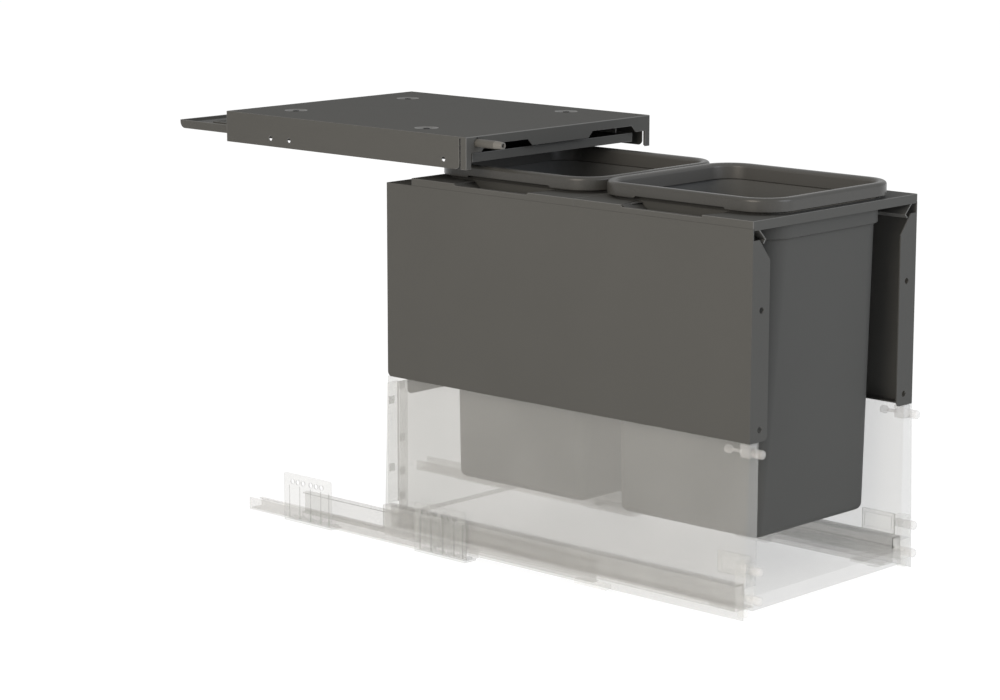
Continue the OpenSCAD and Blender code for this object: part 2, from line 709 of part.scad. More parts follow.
// Drawer side: hollow leaning profile with a skirt beside the runner
module side_section() difference() {
    polygon([[-frame_w / 2, 0], [-skirt_x, rail_top - skirt_h], [-skirt_x + side_wall, rail_top - skirt_h],
        [-foot_x + side_wall, rail_top], [-inner_x, rail_top], [-inner_x, 0]]);
    polygon([[-frame_w / 2 + side_wall, -side_wall], [-foot_x + side_wall, rail_top + side_wall],
        [-inner_x - side_wall, rail_top + side_wall], [-inner_x - side_wall, -side_wall]]);
}

module drawer_side(side) color(see_through) sided(side) difference() {
    along_y(0, frame_d) side_section();
    block([-rail_out, -slack, rail_top - slack],
        [-inner_x - side_wall, fixing_d + 0.2, rail_top + side_wall + slack]);
}

module drawer_side_left() drawer_side("left");
module drawer_side_right() drawer_side("right");

// Drawer bottom on the rails' ledges, and the back that stands on the bottom
module drawer_bottom() color(see_through)
    block([-rail_in + 0.3, sheet_t, board_bottom], [rail_in - 0.3, back_y + board_t, board_top]);

module drawer_back() color(see_through)
    block([-inner_x, back_y, board_top], [inner_x, back_y + board_t, back_top]);

// Angle with square clips that ties the drawer back to the end of a side
module holder_clip() block([0, 0, -clip_h / 2], [clip_w, clip_t, clip_h / 2]);

module back_holder(side) color(see_through) sided(side) {
    leaf_y = back_y + board_t;
    block([-inner_x, leaf_y, board_top], [-inner_x + holder_w, leaf_y + sheet_t, back_top]);
    block([-inner_x, leaf_y, rail_top + 2], [-inner_x + sheet_t, frame_d + sheet_t, back_top]);
    block([-frame_w / 2, frame_d, rail_top + 2], [-inner_x + sheet_t, frame_d + sheet_t, back_top]);
    for (share = leaf_clips) translate([-inner_x + 3, leaf_y + sheet_t, -share * side_h]) holder_clip();
    for (share = end_clips) translate([-frame_w / 2 + 4, frame_d + sheet_t, -share * side_h]) holder_clip();
}

module back_holder_left() back_holder("left");
module back_holder_right() back_holder("right");

// Fixing block for the drawer front, at the end of the rail, with a stop hook below
module front_fixing(side) color(see_through) sided(side) difference() {
    union() {
        block([-rail_out + 1, 0, -dowel_z - dowel_pitch / 2 - 9],
            [-rail_in, fixing_d, -dowel_z + dowel_pitch / 2 + 9]);
        block([-rail_out + 3, 2, middle_foot + 0.5],
            [-rail_out + 8, fixing_d - 2, -dowel_z - dowel_pitch / 2 - 9 + eps]);
    }
    for (z = [-1, 1])
        y_pin(-dowel_x, -slack, fixing_d - 2, -dowel_z + z * dowel_pitch / 2, root_d + 2 * fit_c);
}

module front_fixing_left() front_fixing("left");
module front_fixing_right() front_fixing("right");

// Dowels for the drawer front: a round peg with a thinner root and a rounded end
module peg(z, depth) translate([-dowel_x, 0, z]) rotate([90, 0, 0]) rotate_extrude() {
    translate([0, -depth]) square([root_d / 2, depth + 1]);
    translate([0, 1 - eps]) square([dowel_d / 2, dowel_out - dowel_d / 4 - 1 + eps]);
    translate([0, dowel_out - dowel_d / 4]) square([dowel_d / 4, dowel_d / 4]);
    intersection() {
        translate([dowel_d / 4, dowel_out - dowel_d / 4]) circle(dowel_d / 4);
        translate([dowel_d / 4, dowel_out - dowel_d / 4]) square(dowel_d / 4);
    }
}

module front_dowels() color(see_through) both_sides() for (z = [-1, 1])
    peg(-dowel_z + z * dowel_pitch / 2, fixing_d - 2.2);

// Upper fixings in the hollow of the drawer sides: peg, holder, shank and adjusting head
module upper_fixings() color(see_through) both_sides() {
    peg(upper_dowel_z, 2);
    block([-frame_w / 2 + side_wall + 0.5, 1, upper_dowel_z - 5.5],
        [-inner_x - side_wall - 0.1, fixing_d, -side_wall - 0.1]);
    y_pin(-dowel_x, fixing_d, fixing_d + shank_l, upper_dowel_z, 4);
    y_pin(-dowel_x, fixing_d + shank_l, fixing_d + shank_l + head_l, upper_dowel_z, dowel_d - 1);
}

// Cover over the adjusting screws, on the inner face of a drawer side
module fixing_cover(side) color(see_through) sided(side) {
    block([-inner_x, cover_y, cover_low], [-inner_x + 1.2, cover_y + cover_l, cover_low + cover_h]);
    block([-inner_x, cover_y + 4, cover_low + 4],
        [-inner_x + 2, cover_y + cover_l - 4, cover_low + cover_h - 4]);
}

module fixing_cover_left() fixing_cover("left");
module fixing_cover_right() fixing_cover("right");

// Catch lever under the drawer bottom, at the front end of a rail
module catch(side) color(see_through) sided(side) {
    under = board_bottom - rail_t;
    lever = [-rail_in + 1, catch_y, under - catch_t];
    block(lever, [-rail_in + 1 + catch_w, catch_y + catch_l, under]);
    block(lever + [2, 4, -2], [-rail_in + catch_w - 2, catch_y + catch_l * 0.45, under - catch_t]);
}

module catch_left() catch("left");
module catch_right() catch("right");

// Side panel with front flange, foot flange and rear flange
module flange_outline() difference() {
    polygon([[0, 0], [flange_w, 0], [flange_w, flange_h - flange_slant],
        [flange_top_w, flange_h], [0, flange_h]]);
    translate([flange_w, 0]) mirror([1, 0]) corner_waste(corner_r);
    for (i = [0, 1])
        translate([flange_hole_x, flange_hole_z + i * flange_hole_pitch]) circle(d = flange_hole_d);
}

module frame_panel(side) color(dark_steel) sided(side) translate([-frame_w / 2, 0, 0]) {
    rotate([90, 0, 90]) linear_extrude(sheet_t) difference() {
        square([frame_d, panel_h]);
        translate([frame_d, 0]) mirror([1, 0]) corner_waste(corner_r);
    }
    translate([0, sheet_t, 0]) rotate([90, 0, 0]) linear_extrude(sheet_t) flange_outline();
    block([0, 0, 0], [foot_w, frame_d - 3 * sheet_t, sheet_t]);
    difference() {
        block([0, frame_d - sheet_t, corner_r], [15, frame_d, rear_flange_h]);
        for (z = back_screw_z) y_pin(screw_x, frame_d - 2 * sheet_t, frame_d + slack, z, 4);
    }
}

back_screw_z = [16, 190];
screw_x = 8;

module frame_panel_left() frame_panel("left");
module frame_panel_right() frame_panel("right");

// Back of the frame: sheet with a rounded tongue behind the drawer back, and a top flange
module frame_back() color(dark_steel) difference() {
    union() {
        translate([0, frame_d - sheet_t, 0]) rotate([90, 0, 0]) linear_extrude(sheet_t) {
            translate([-frame_w / 2 + sheet_t, 0]) square([frame_w - 2 * sheet_t, panel_h]);
            difference() {
                translate([-tongue_w, -tongue_h]) square([2 * tongue_w, tongue_h + eps]);
                translate([-tongue_w, -tongue_h]) corner_waste(corner_r);
                translate([tongue_w, -tongue_h]) mirror([1, 0]) corner_waste(corner_r);
            }
        }
        block([-frame_w / 2 + sheet_t, bin_pitch * 2, panel_h - sheet_t],
            [frame_w / 2 - sheet_t, frame_d, panel_h]);
    }
    both_sides() for (z = back_screw_z) y_pin(-frame_w / 2 + screw_x, frame_d - 3 * sheet_t, frame_d, z, 4);
}

// Screws that hold the back between the side panels
module back_screws() color(dark_steel) both_sides() for (z = back_screw_z) {
    y_pin(-frame_w / 2 + screw_x, frame_d - 2 * sheet_t - 3, frame_d, z, 3.8);
    y_pin(-frame_w / 2 + screw_x, frame_d, frame_d + 1.2, z, 7);
}

// Top frame for one bin: sheet with a bent edge, slanted lips and finger grips
module rail_lip() {
    step = sheet_t * sqrt(2);
    knee = [lip_root + lip_d, -sheet_t - lip_d];
    end = knee - [lip_return, lip_return];
    polygon([[lip_root - 0.5, -sheet_t + 0.5], knee, end, end + [-step / 2, step / 2], knee - [step, 0],
        [lip_root - 0.5 - step, -sheet_t + 0.5]]);
}

module grip_cut() intersection() {
    translate([0, 0, -grip_drop]) linear_extrude(grip_drop + slack) polygon([
        [-frame_w / 2 - slack, -grip_l / 2], [-frame_w / 2 - slack, grip_l / 2],
        [-opening_w / 2 + slack, grip_l / 2 + grip_flare],
        [-opening_w / 2 + slack, -grip_l / 2 - grip_flare]]);
    translate([-frame_w / 2 - slack, 0, 0]) rotate([90, 0, 90]) linear_extrude(frame_w) polygon([
        [-grip_l / 2 - grip_flare, slack], [-grip_l / 2 + grip_drop, -grip_drop],
        [grip_l / 2 - grip_drop, -grip_drop], [grip_l / 2 + grip_flare, slack]]);
}

module top_frame(y0) color(dark_steel) translate([0, y0, 0]) difference() {
    union() {
        block([-frame_w / 2, 0, frame_top - sheet_t], [frame_w / 2, bin_pitch - seam, frame_top]);
        for (y = [0, bin_pitch - seam - sheet_t])
            block([-frame_w / 2, y, panel_h], [frame_w / 2, y + sheet_t, frame_top]);
        both_sides() {
            block([-frame_w / 2, 0, panel_h], [-frame_w / 2 + sheet_t, bin_pitch - seam, frame_top]);
            translate([-frame_w / 2, 0, frame_top]) along_y(0, bin_pitch - seam) rail_lip();
        }
    }
    translate([0, bin_mid, frame_top - sheet_t - slack]) linear_extrude(sheet_t + 2 * slack)
        rounded_plate(opening_w, opening_l, opening_r);
    both_sides() translate([0, bin_mid, frame_top]) grip_cut();
}

module top_frame_front() top_frame(0);
module top_frame_rear() top_frame(bin_pitch);

// Bin: tapered tub with a rounded bottom edge, a collar and a rim that hangs on the top frame
module slab(w, l, r, z) translate([0, 0, z]) linear_extrude(eps) rounded_plate(w, l, r, $fn = hull_fn);

module tub(inset, floor_z, z_top) hull() {
    step_w = collar_w - 2 * wall_step;
    step_l = collar_l - 2 * wall_step;
    slab(step_w - 2 * inset, step_l - 2 * inset, collar_r - wall_step - inset, z_top);
    slab(bottom_w - 2 * inset, bottom_l - 2 * inset, bottom_r - inset, floor_z + bottom_edge_r);
    slab(bottom_w - 2 * inset - bottom_edge_r * 0.6, bottom_l - 2 * inset - bottom_edge_r * 0.6,
        bottom_r - inset - bottom_edge_r * 0.3, floor_z + bottom_edge_r * 0.3);
    slab(bottom_w - 2 * inset - bottom_edge_r * 2, bottom_l - 2 * inset - bottom_edge_r * 2,
        bottom_r - inset - bottom_edge_r * 0.5, floor_z);
}

module bin() color(dark_plastic) difference() {
    union() {
        tub(0, bin_bottom, frame_top - collar_h + 1);
        translate([0, 0, frame_top - collar_h]) linear_extrude(collar_h + rim_t)
            rounded_plate(collar_w, collar_l, collar_r);
        translate([0, 0, frame_top]) linear_extrude(rim_t) rounded_plate(rim_w, rim_l, rim_r);
    }
    tub(bin_wall, bin_bottom + bin_wall, frame_top - collar_h + 1 + eps);
    translate([0, 0, frame_top - collar_h + 1]) linear_extrude(collar_h + rim_t + slack)
        rounded_plate(collar_w - 2 * bin_wall, collar_l - 2 * bin_wall, collar_r - bin_wall);
}

module front_bin() translate([0, bin_mid, 0]) bin();
module rear_bin() translate([0, bin_mid + bin_pitch, 0]) bin();

// Bag ring: hollow rounded band that drops over the rim, notched over the finger grips
module ring_section() {
    edge = 2;
    foot = frame_top + rim_t;
    difference() {
        union() {
            translate([0, ring_base]) square([edge + 1, ring_h - edge]);
            translate([edge, ring_top - edge]) circle(edge);
            polygon([[edge, ring_base], [ring_band - ring_wall, foot], [ring_band, foot],
                [ring_band - 0.6, ring_top - 1.6], [ring_band - 2.2, ring_top], [edge, ring_top]]);
        }
        polygon([[ring_wall, ring_base - 5], [ring_wall, ring_top - ring_wall],
            [ring_band - 0.6 - ring_wall, ring_top - ring_wall], [ring_band - ring_wall, foot - eps]]);
    }
}

module bag_ring() color(dark_plastic) difference() {
    swept_round(ring_w, ring_l, ring_r) ring_section();
    both_sides() translate([-ring_w / 2 - slack, 0, ring_base]) rotate([90, 0, 90])
        linear_extrude(slack + ring_wall + 0.4) polygon([
            [-ring_notch_l / 2 - slack, -slack], [ring_notch_l / 2 + slack, -slack],
            [ring_notch_l / 2 - ring_notch_h, ring_notch_h],
            [-ring_notch_l / 2 + ring_notch_h, ring_notch_h]]);
}

module front_bag_ring() translate([0, bin_mid, 0]) bag_ring();
module rear_bag_ring() translate([0, bin_mid + bin_pitch, 0]) bag_ring();

at_origin() lid_carrier();
at_origin() guide_posts();
at_origin() post_screws();
at_origin() plunger_guide();
at_origin() guide_studs();
at_origin() plunger();
at_origin() plunger_tip();
at_origin() cam_slide();
at_origin() lid_pan();
at_origin() cam_pins();
at_origin() bracket_front_left();
at_origin() bracket_front_right();
at_origin() bracket_rear_left();
at_origin() bracket_rear_right();
at_origin() cabinet_rail_left();
at_origin() cabinet_rail_right();
at_origin() middle_rail_left();
at_origin() middle_rail_right();
at_origin() middle_block_left();
at_origin() middle_block_right();
at_origin() lower_cage_left();
at_origin() lower_cage_right();
at_origin() lower_rollers_left();
at_origin() lower_rollers_right();
at_origin() upper_cage_left();
at_origin() upper_cage_right();
at_origin() upper_rollers_left();
at_origin() upper_rollers_right();
at_origin() drawer_rail_left();
at_origin() drawer_rail_right();
at_origin() drawer_side_left();
at_origin() drawer_side_right();
at_origin() drawer_bottom();
at_origin() drawer_back();
at_origin() back_holder_left();
at_origin() back_holder_right();
at_origin() front_fixing_left();
at_origin() front_fixing_right();
at_origin() front_dowels();
at_origin() upper_fixings();
at_origin() fixing_cover_left();
at_origin() fixing_cover_right();
at_origin() catch_left();
at_origin() catch_right();
at_origin() frame_panel_left();
at_origin() frame_panel_right();
at_origin() frame_back();
at_origin() back_screws();
at_origin() top_frame_front();
at_origin() top_frame_rear();
at_origin() front_bin();
at_origin() rear_bin();
at_origin() front_bag_ring();
at_origin() rear_bag_ring();
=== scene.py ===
"""Finishes, moulded pieces and stage of a pull-out bin frame."""

import json
import math

import bpy
import bmesh
from bpy.props import FloatProperty, FloatVectorProperty, IntProperty, PointerProperty
from mathutils import Matrix, Vector


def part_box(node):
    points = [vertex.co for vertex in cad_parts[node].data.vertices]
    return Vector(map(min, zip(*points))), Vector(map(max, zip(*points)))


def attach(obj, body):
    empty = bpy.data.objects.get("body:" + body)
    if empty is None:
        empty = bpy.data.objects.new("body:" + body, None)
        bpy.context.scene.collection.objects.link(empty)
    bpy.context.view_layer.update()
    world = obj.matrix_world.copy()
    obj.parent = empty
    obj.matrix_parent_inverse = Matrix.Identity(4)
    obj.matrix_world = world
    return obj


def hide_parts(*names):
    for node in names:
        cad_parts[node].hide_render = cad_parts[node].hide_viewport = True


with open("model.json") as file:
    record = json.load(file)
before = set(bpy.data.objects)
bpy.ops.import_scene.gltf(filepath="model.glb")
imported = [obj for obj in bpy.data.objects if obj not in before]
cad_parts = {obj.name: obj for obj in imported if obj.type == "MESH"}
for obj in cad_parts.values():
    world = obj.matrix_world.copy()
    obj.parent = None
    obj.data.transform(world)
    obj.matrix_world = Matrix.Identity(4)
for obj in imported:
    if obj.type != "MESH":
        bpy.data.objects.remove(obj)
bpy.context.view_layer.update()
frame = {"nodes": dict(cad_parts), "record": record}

bl_info = {
    "name": "Pull-out bin frame",
    "version": (1, 0, 0),
    "blender": (4, 5, 0),
    "location": "View3D > Sidebar > Bin frame",
    "description": "Dresses the bin frame: painted sheets, moulded bins and rings, clear drawer",
    "category": "Object",
}

MM = 0.001
LEFT_RIGHT = ("left", "right")
BOTH_WAYS = (-1, 1)

# Points of a CAD mesh that lie closer than this are one point
WELD = 2e-6
# Faces of a CAD mesh that meet at less than this are one flat face
FLAT = math.radians(0.3)
# Edges sharper than this are rounded
SHARP = math.radians(38)
# A normal with no larger part than this along an axis belongs to a rounded edge or a slope
SQUARE = 0.97
# Slope of bands that are almost level, so that bridged outlines stay in step
TILT = 0.1 * MM
# Rounding of the edges of thin see-through pieces
FINE_EDGE = 0.1 * MM
# Thickness of the frame's steel sheet
SHEET_T = 1.5 * MM

# Smoothing angles in degrees
SMOOTH_SHEET = 15
SMOOTH_SMALL = 32
SMOOTH_RING = 35
SMOOTH_BIN = 40

# Sizes of see-through pieces against their CAD nodes, so that their faces don't touch others
BLOCK_SHARE = 0.97
HOLDER_SHARE = 0.994
BACK_SHARE = 0.997

# Camera fitted to the photo's edges: place in metres, directions, lens and sensor in millimetres
CAMERA_PLACE = Vector((-2.55597, -2.34502, 0.88494))
CAMERA_RIGHT = Vector((0.683537, -0.729916, 0.000665))
CAMERA_AHEAD = Vector((0.717035, 0.671304, -0.187650))
CAMERA_REACH = 200.0
LENS = 107.105
SENSOR = 36.0

# Lamps: name, place in metres, power in watts and tint
LAMPS = (
    ("left_key", (-3.2, -0.6, 1.6), 74.0, (1.0, 0.893, 0.77)),
    ("front_fill", (0.8, -3.4, 1.5), 48.0, (0.871, 0.908, 1.0)),
)
LAMP_AIM = (0, 0, 0.3)
LAMP_SIZE = 2.4

# Light of the world on the object, and what is added where a ray sees the world itself
WORLD_LIGHT = 0.64
WORLD_SEEN = 0.36
WORLD_MIRRORED = 0.06
SEEING_RAYS = ("Is Camera Ray", "Is Glossy Ray", "Is Transmission Ray")

# Floor: side and drop in metres, glow where it is seen and that glow's share
FLOOR_SIDE = 120.0
FLOOR_DROP = 0.5 * MM
FLOOR_GLOW = 1.1
FLOOR_GLOW_SHARE = 0.85
WHITE = (1, 1, 1, 1)


def length(name, description, default):
    """A length in millimetres as a property in metres."""
    return FloatProperty(
        name=name, description=description, default=default * MM, min=0.0, unit="LENGTH", precision=5
    )


def colour(name, description, default):
    """A colour property."""
    return FloatVectorProperty(
        name=name, description=description, default=default, size=3, min=0.0, max=1.0, subtype="COLOR"
    )


class BinFrameSizes(bpy.types.PropertyGroup):
    """Sizes of the pieces that are modelled here."""

    sheet_edge: length("Sheet edge", "Rounding of the painted sheet's edges", 0.5)
    bend_r: length("Bend radius", "Rounding of the bend along the lid's front", 0.9)
    plastic_edge: length("Plastic edge", "Rounding of small plastic and steel edges", 0.3)
    collar_w: length("Collar width", "Width of a bin's collar", 216)
    collar_l: length("Collar length", "Length of a bin's collar", 236)
    collar_r: length("Collar radius", "Corner radius of a bin's collar", 38)
    collar_h: length("Collar height", "Height of the collar below the top frame", 25.2)
    wall_step: length("Wall step", "Set-back of the wall below the collar", 4.5)
    bottom_w: length("Bottom width", "Width of a bin's bottom", 197)
    bottom_l: length("Bottom length", "Length of a bin's bottom", 197)
    bottom_r: length("Bottom radius", "Corner radius of a bin's bottom", 11)
    bottom_edge: length("Bottom edge", "Rounding round the bottom", 8)
    bin_wall: length("Bin wall", "Wall thickness of a bin", 2.2)
    rim_out: length("Rim width", "Width of the rim beyond the collar", 1.3)
    rim_t: length("Rim thickness", "Thickness of the rim", 2.4)
    ring_w: length("Ring width", "Width of a bag ring", 234)
    ring_l: length("Ring length", "Length of a bag ring", 248)
    ring_r: length("Ring radius", "Corner radius of a bag ring", 41)
    ring_h: length("Ring height", "Height of a bag ring's outer face", 14.8)
    ring_band: length("Ring band", "Width of a bag ring's band", 12.8)
    ring_wall: length("Ring wall", "Wall thickness of a bag ring", 2.5)
    ring_edge: length("Ring edge", "Rounding of a bag ring's top edge", 4)
    grip_l: length("Grip length", "Length of a finger grip at the outer face", 112)
    grip_flare: length("Grip flare", "Widening of a finger grip towards the bin", 8)
    flap_h: length("Flap height", "How far the bent ends of a finger grip reach down", 7.5)
    flap_run: length("Flap run", "How far the bent ends of a finger grip lean inwards", 13)
    flap_t: length("Flap thickness", "Thickness of the bent ends of a finger grip", 1.2)
    frame_rise: length("Frame rise", "How far the top frame's sheet stands above the CAD one", 1.7)
    brow_h: length("Brow height", "How far the top frame's front edge reaches below the CAD one", 1.9)
    opening_w: length("Opening width", "Width of the top frame's opening", 219)
    side_lean: length("Side lean", "How far a drawer side's foot stands out", 7)
    side_wall: length("Side wall", "Thickness of a drawer side's skirt", 1.2)
    skirt_h: length("Skirt height", "Height of a drawer side's skirt", 35)
    notch_l: length("Notch length", "Length of the finger notch in a ring", 128)
    notch_h: length("Notch height", "Height of the finger notch in a ring", 2.4)
    corner_steps: IntProperty(
        name="Corner steps", description="Faces round each corner", default=14, min=4, max=32
    )


class BinFrameColours(bpy.types.PropertyGroup):
    """Colours of the finishes."""

    paint: colour("Paint", "Powder coat on the steel sheets", (0.0822, 0.0829, 0.0793))
    # Lighter than the paint: a painted highlight on the rounded sheet edges and on the slopes of the lid's
    # seats
    paint_edge_highlight: colour("Paint edge", "Thinner powder coat on the sheets' edges", (0.105, 0.106, 0.103))
    bin_plastic: colour("Bin plastic", "Moulded plastic of the bins", (0.0655, 0.0665, 0.0635))
    # Lighter than the bin plastic: painted light on the bins' inside faces, which also have a finer,
    # smoother grain
    bin_inside_painted_light: colour("Bin inside", "Smooth inside of the bins", (0.102, 0.104, 0.102))
    ring_plastic: colour("Ring plastic", "Moulded plastic of the bag rings", (0.051, 0.0505, 0.047))
    # Lighter than the ring plastic: painted light on the rings' inner faces
    ring_inside_painted_light: colour("Ring inside", "Inner face of the bag rings", (0.072, 0.0715, 0.068))
    rod_plastic: colour("Rod plastic", "Push rod", (0.088, 0.086, 0.079))
    tip_plastic: colour("Tip plastic", "Pale tip of the push rod", (0.145, 0.142, 0.132))
    screw: colour("Screw", "Black screws in the lid's seats", (0.018, 0.018, 0.018))
    zinc: colour("Zinc", "Zinc plate on posts, pins and slide", (0.52, 0.52, 0.50))
    clear: colour("Clear", "See-through drawer sides", (0.535, 0.546, 0.538))
    clear_bracket: colour("Clear bracket", "See-through wall brackets", (0.57, 0.59, 0.585))
    clear_fitting: colour("Clear fitting", "See-through plastic fittings", (0.90, 0.90, 0.89))
    clear_peg: colour("Clear peg", "See-through pegs and fixings", (0.76, 0.76, 0.75))
    clear_edge: colour("Clear edge", "Clips and outlines of the see-through fittings", (0.34, 0.34, 0.33))
    clear_board: colour("Clear board", "See-through drawer bottom", (0.62, 0.62, 0.60))
    clear_back: colour("Clear back", "See-through drawer back", (0.66, 0.66, 0.65))
    clear_mark: colour("Clear mark", "Grooves of the see-through brackets", (0.22, 0.22, 0.21))
    clear_rail: colour("Clear rail", "See-through galvanised rails", (0.725, 0.722, 0.712))
    clear_fixed_rail: colour("Clear fixed rail", "See-through cabinet rails", (0.79, 0.785, 0.775))
    floor: colour("Floor", "Floor and backdrop", (0.95, 0.95, 0.95))


class Value:
    """A shader value; arithmetic on it adds Math nodes."""

    def __init__(self, tree, socket):
        self.tree = tree
        self.socket = socket

    def math(self, operation, left, right):
        """A Math node on two values or numbers."""
        node = self.tree.nodes.new("ShaderNodeMath")
        node.operation = operation
        for socket, item in zip(node.inputs, (left, right)):
            if isinstance(item, Value):
                self.tree.links.new(item.socket, socket)
            else:
                socket.default_value = item
        return Value(self.tree, node.outputs[0])

    def __add__(self, other):
        return self.math("ADD", self, other)

    def __radd__(self, other):
        return self.math("ADD", other, self)

    def __mul__(self, other):
        return self.math("MULTIPLY", self, other)


class Finish:
    """A node material that is built from calls to node()."""

    def __init__(self, name):
        self.material = bpy.data.materials.new(name)
        self.material.use_nodes = True
        self.tree = self.material.node_tree
        self.tree.nodes.clear()

    def node(self, kind, settings=None, inputs=None, output=0):
        """A node with its settings and inputs; returns the value of one output."""
        node = self.tree.nodes.new(kind)
        for key, item in (settings or {}).items():
            if key == "stops":
                self.set_stops(node.color_ramp, item)
            else:
                setattr(node, key, item)
        for key, item in (inputs or {}).items():
            if isinstance(item, Value):
                self.tree.links.new(item.socket, node.inputs[key])
            else:
                node.inputs[key].default_value = item
        return Value(self.tree, node.outputs[output]) if node.outputs else None

    @staticmethod
    def set_stops(ramp, stops):
        """Sets a ramp's stops, each a place and a grey tone."""
        while len(ramp.elements) < len(stops):
            ramp.elements.new(1.0)
        for element, (place, tone) in zip(ramp.elements, stops):
            element.position = place
            element.color = (tone, tone, tone, 1.0)

    def coords(self):
        return self.node("ShaderNodeTexCoord", output="Object")

    def noise(self, coords, scale, detail=2.0, roughness=0.5):
        return self.node(
            "ShaderNodeTexNoise",
            inputs={"Vector": coords, "Scale": scale, "Detail": detail, "Roughness": roughness},
        )

    def shades(self, factor, tint, low, high):
        """A colour that runs from low to high times its tint."""
        dark = (*(c * low for c in tint), 1.0)
        light = (*(min(c * high, 1.0) for c in tint), 1.0)
        return self.node("ShaderNodeMix", {"data_type": "RGBA"}, {0: factor, 6: dark, 7: light}, output=2)

    def bump(self, height, strength, distance):
        return self.node(
            "ShaderNodeBump", inputs={"Strength": strength, "Distance": distance, "Height": height}
        )

    def surface(self, **sockets):
        """The principled surface; an underscore in a name is a blank in the socket's name."""
        inputs = {name.replace("_", " "): item for name, item in sockets.items()}
        shader = self.node("ShaderNodeBsdfPrincipled", inputs=inputs)
        self.node("ShaderNodeOutputMaterial", inputs={"Surface": shader})
        return self.material


def powder_coat(name, tint, sheen, rough):
    """Matt powder coat: fine orange peel and a faint cloud in tone."""
    f = Finish(name)
    at = f.coords()
    peel = f.noise(at, 1300.0, detail=3.0, roughness=0.6)
    cloud = f.noise(at, 7.0, detail=2.0)
    tone = cloud * 0.7 + peel * 0.3
    return f.surface(
        Base_Color=f.shades(tone, tint, low=0.93, high=1.07),
        Roughness=rough + cloud * 0.08 + peel * 0.06,
        Normal=f.bump(peel, strength=0.10, distance=0.2 * MM),
        Specular_IOR_Level=sheen,
    )


def moulded_plastic(name, tint, fineness, rough, sheen):
    """Moulded plastic with a fine spark-eroded grain."""
    f = Finish(name)
    at = f.coords()
    grain = f.noise(at, fineness, detail=4.0, roughness=0.65)
    flow = f.noise(at, 11.0, detail=3.0)
    return f.surface(
        Base_Color=f.shades(flow * 0.55 + grain * 0.45, tint, low=0.92, high=1.08),
        Roughness=rough + flow * 0.08 + grain * 0.08,
        Normal=f.bump(grain, strength=0.14, distance=0.15 * MM),
        Specular_IOR_Level=sheen,
    )


def zinc_plate(name, tint):
    """Zinc-plated steel with faint drawing lines."""
    f = Finish(name)
    at = f.coords()
    lines = f.node("ShaderNodeMapping", inputs={"Vector": at, "Scale": (2600.0, 90.0, 2600.0)})
    drawn = f.noise(lines, 1.0, detail=3.0)
    patch = f.noise(at, 60.0, detail=2.0)
    return f.surface(
        Base_Color=f.shades(patch * 0.5 + drawn * 0.5, tint, low=0.85, high=1.1),
        Metallic=0.9,
        Roughness=0.34 + drawn * 0.16,
        Normal=f.bump(drawn, strength=0.08, distance=0.1 * MM),
    )


def specks(finish, fineness, start):
    """Fine dust, the flecks that stand out of it, and a faint cloud."""
    at = finish.coords()
    dust = finish.noise(at, fineness, detail=4.0, roughness=0.7)
    stops = {"stops": [(start, 0.0), (0.62, 1.0)]}
    fleck = finish.node("ShaderNodeValToRGB", stops, {"Fac": dust})
    return dust, fleck, finish.noise(at, 14.0, detail=2.0)


def clear_finish(name, tint, cover, speckle):
    """See-through finish: an even veil with a faint cloud and a fine speckle."""
    f = Finish(name)
    dust, fleck, cloud = specks(f, 900.0, 0.42)
    return f.surface(
        Base_Color=f.shades(fleck * speckle + cloud * (1.0 - speckle), tint, low=0.86, high=1.12),
        Roughness=0.38 + cloud * 0.1,
        Alpha=cover * (1.0 - 0.5 * speckle) + fleck * (cover * speckle),
        Normal=f.bump(dust, strength=0.05, distance=0.1 * MM),
        Specular_IOR_Level=0.25,
    )


def tinted_clear(name, tint, pass_on, speckle):
    """See-through tinted finish that lets light straight on, with a fine speckle in its tint."""
    f = Finish(name)
    fleck, cloud = specks(f, 420.0, 0.40)[1:]
    return f.surface(
        Base_Color=f.shades(fleck * speckle + cloud * (1.0 - speckle), tint, low=0.93, high=1.06),
        Roughness=0.08,
        Transmission_Weight=pass_on,
        IOR=1.0,
    )


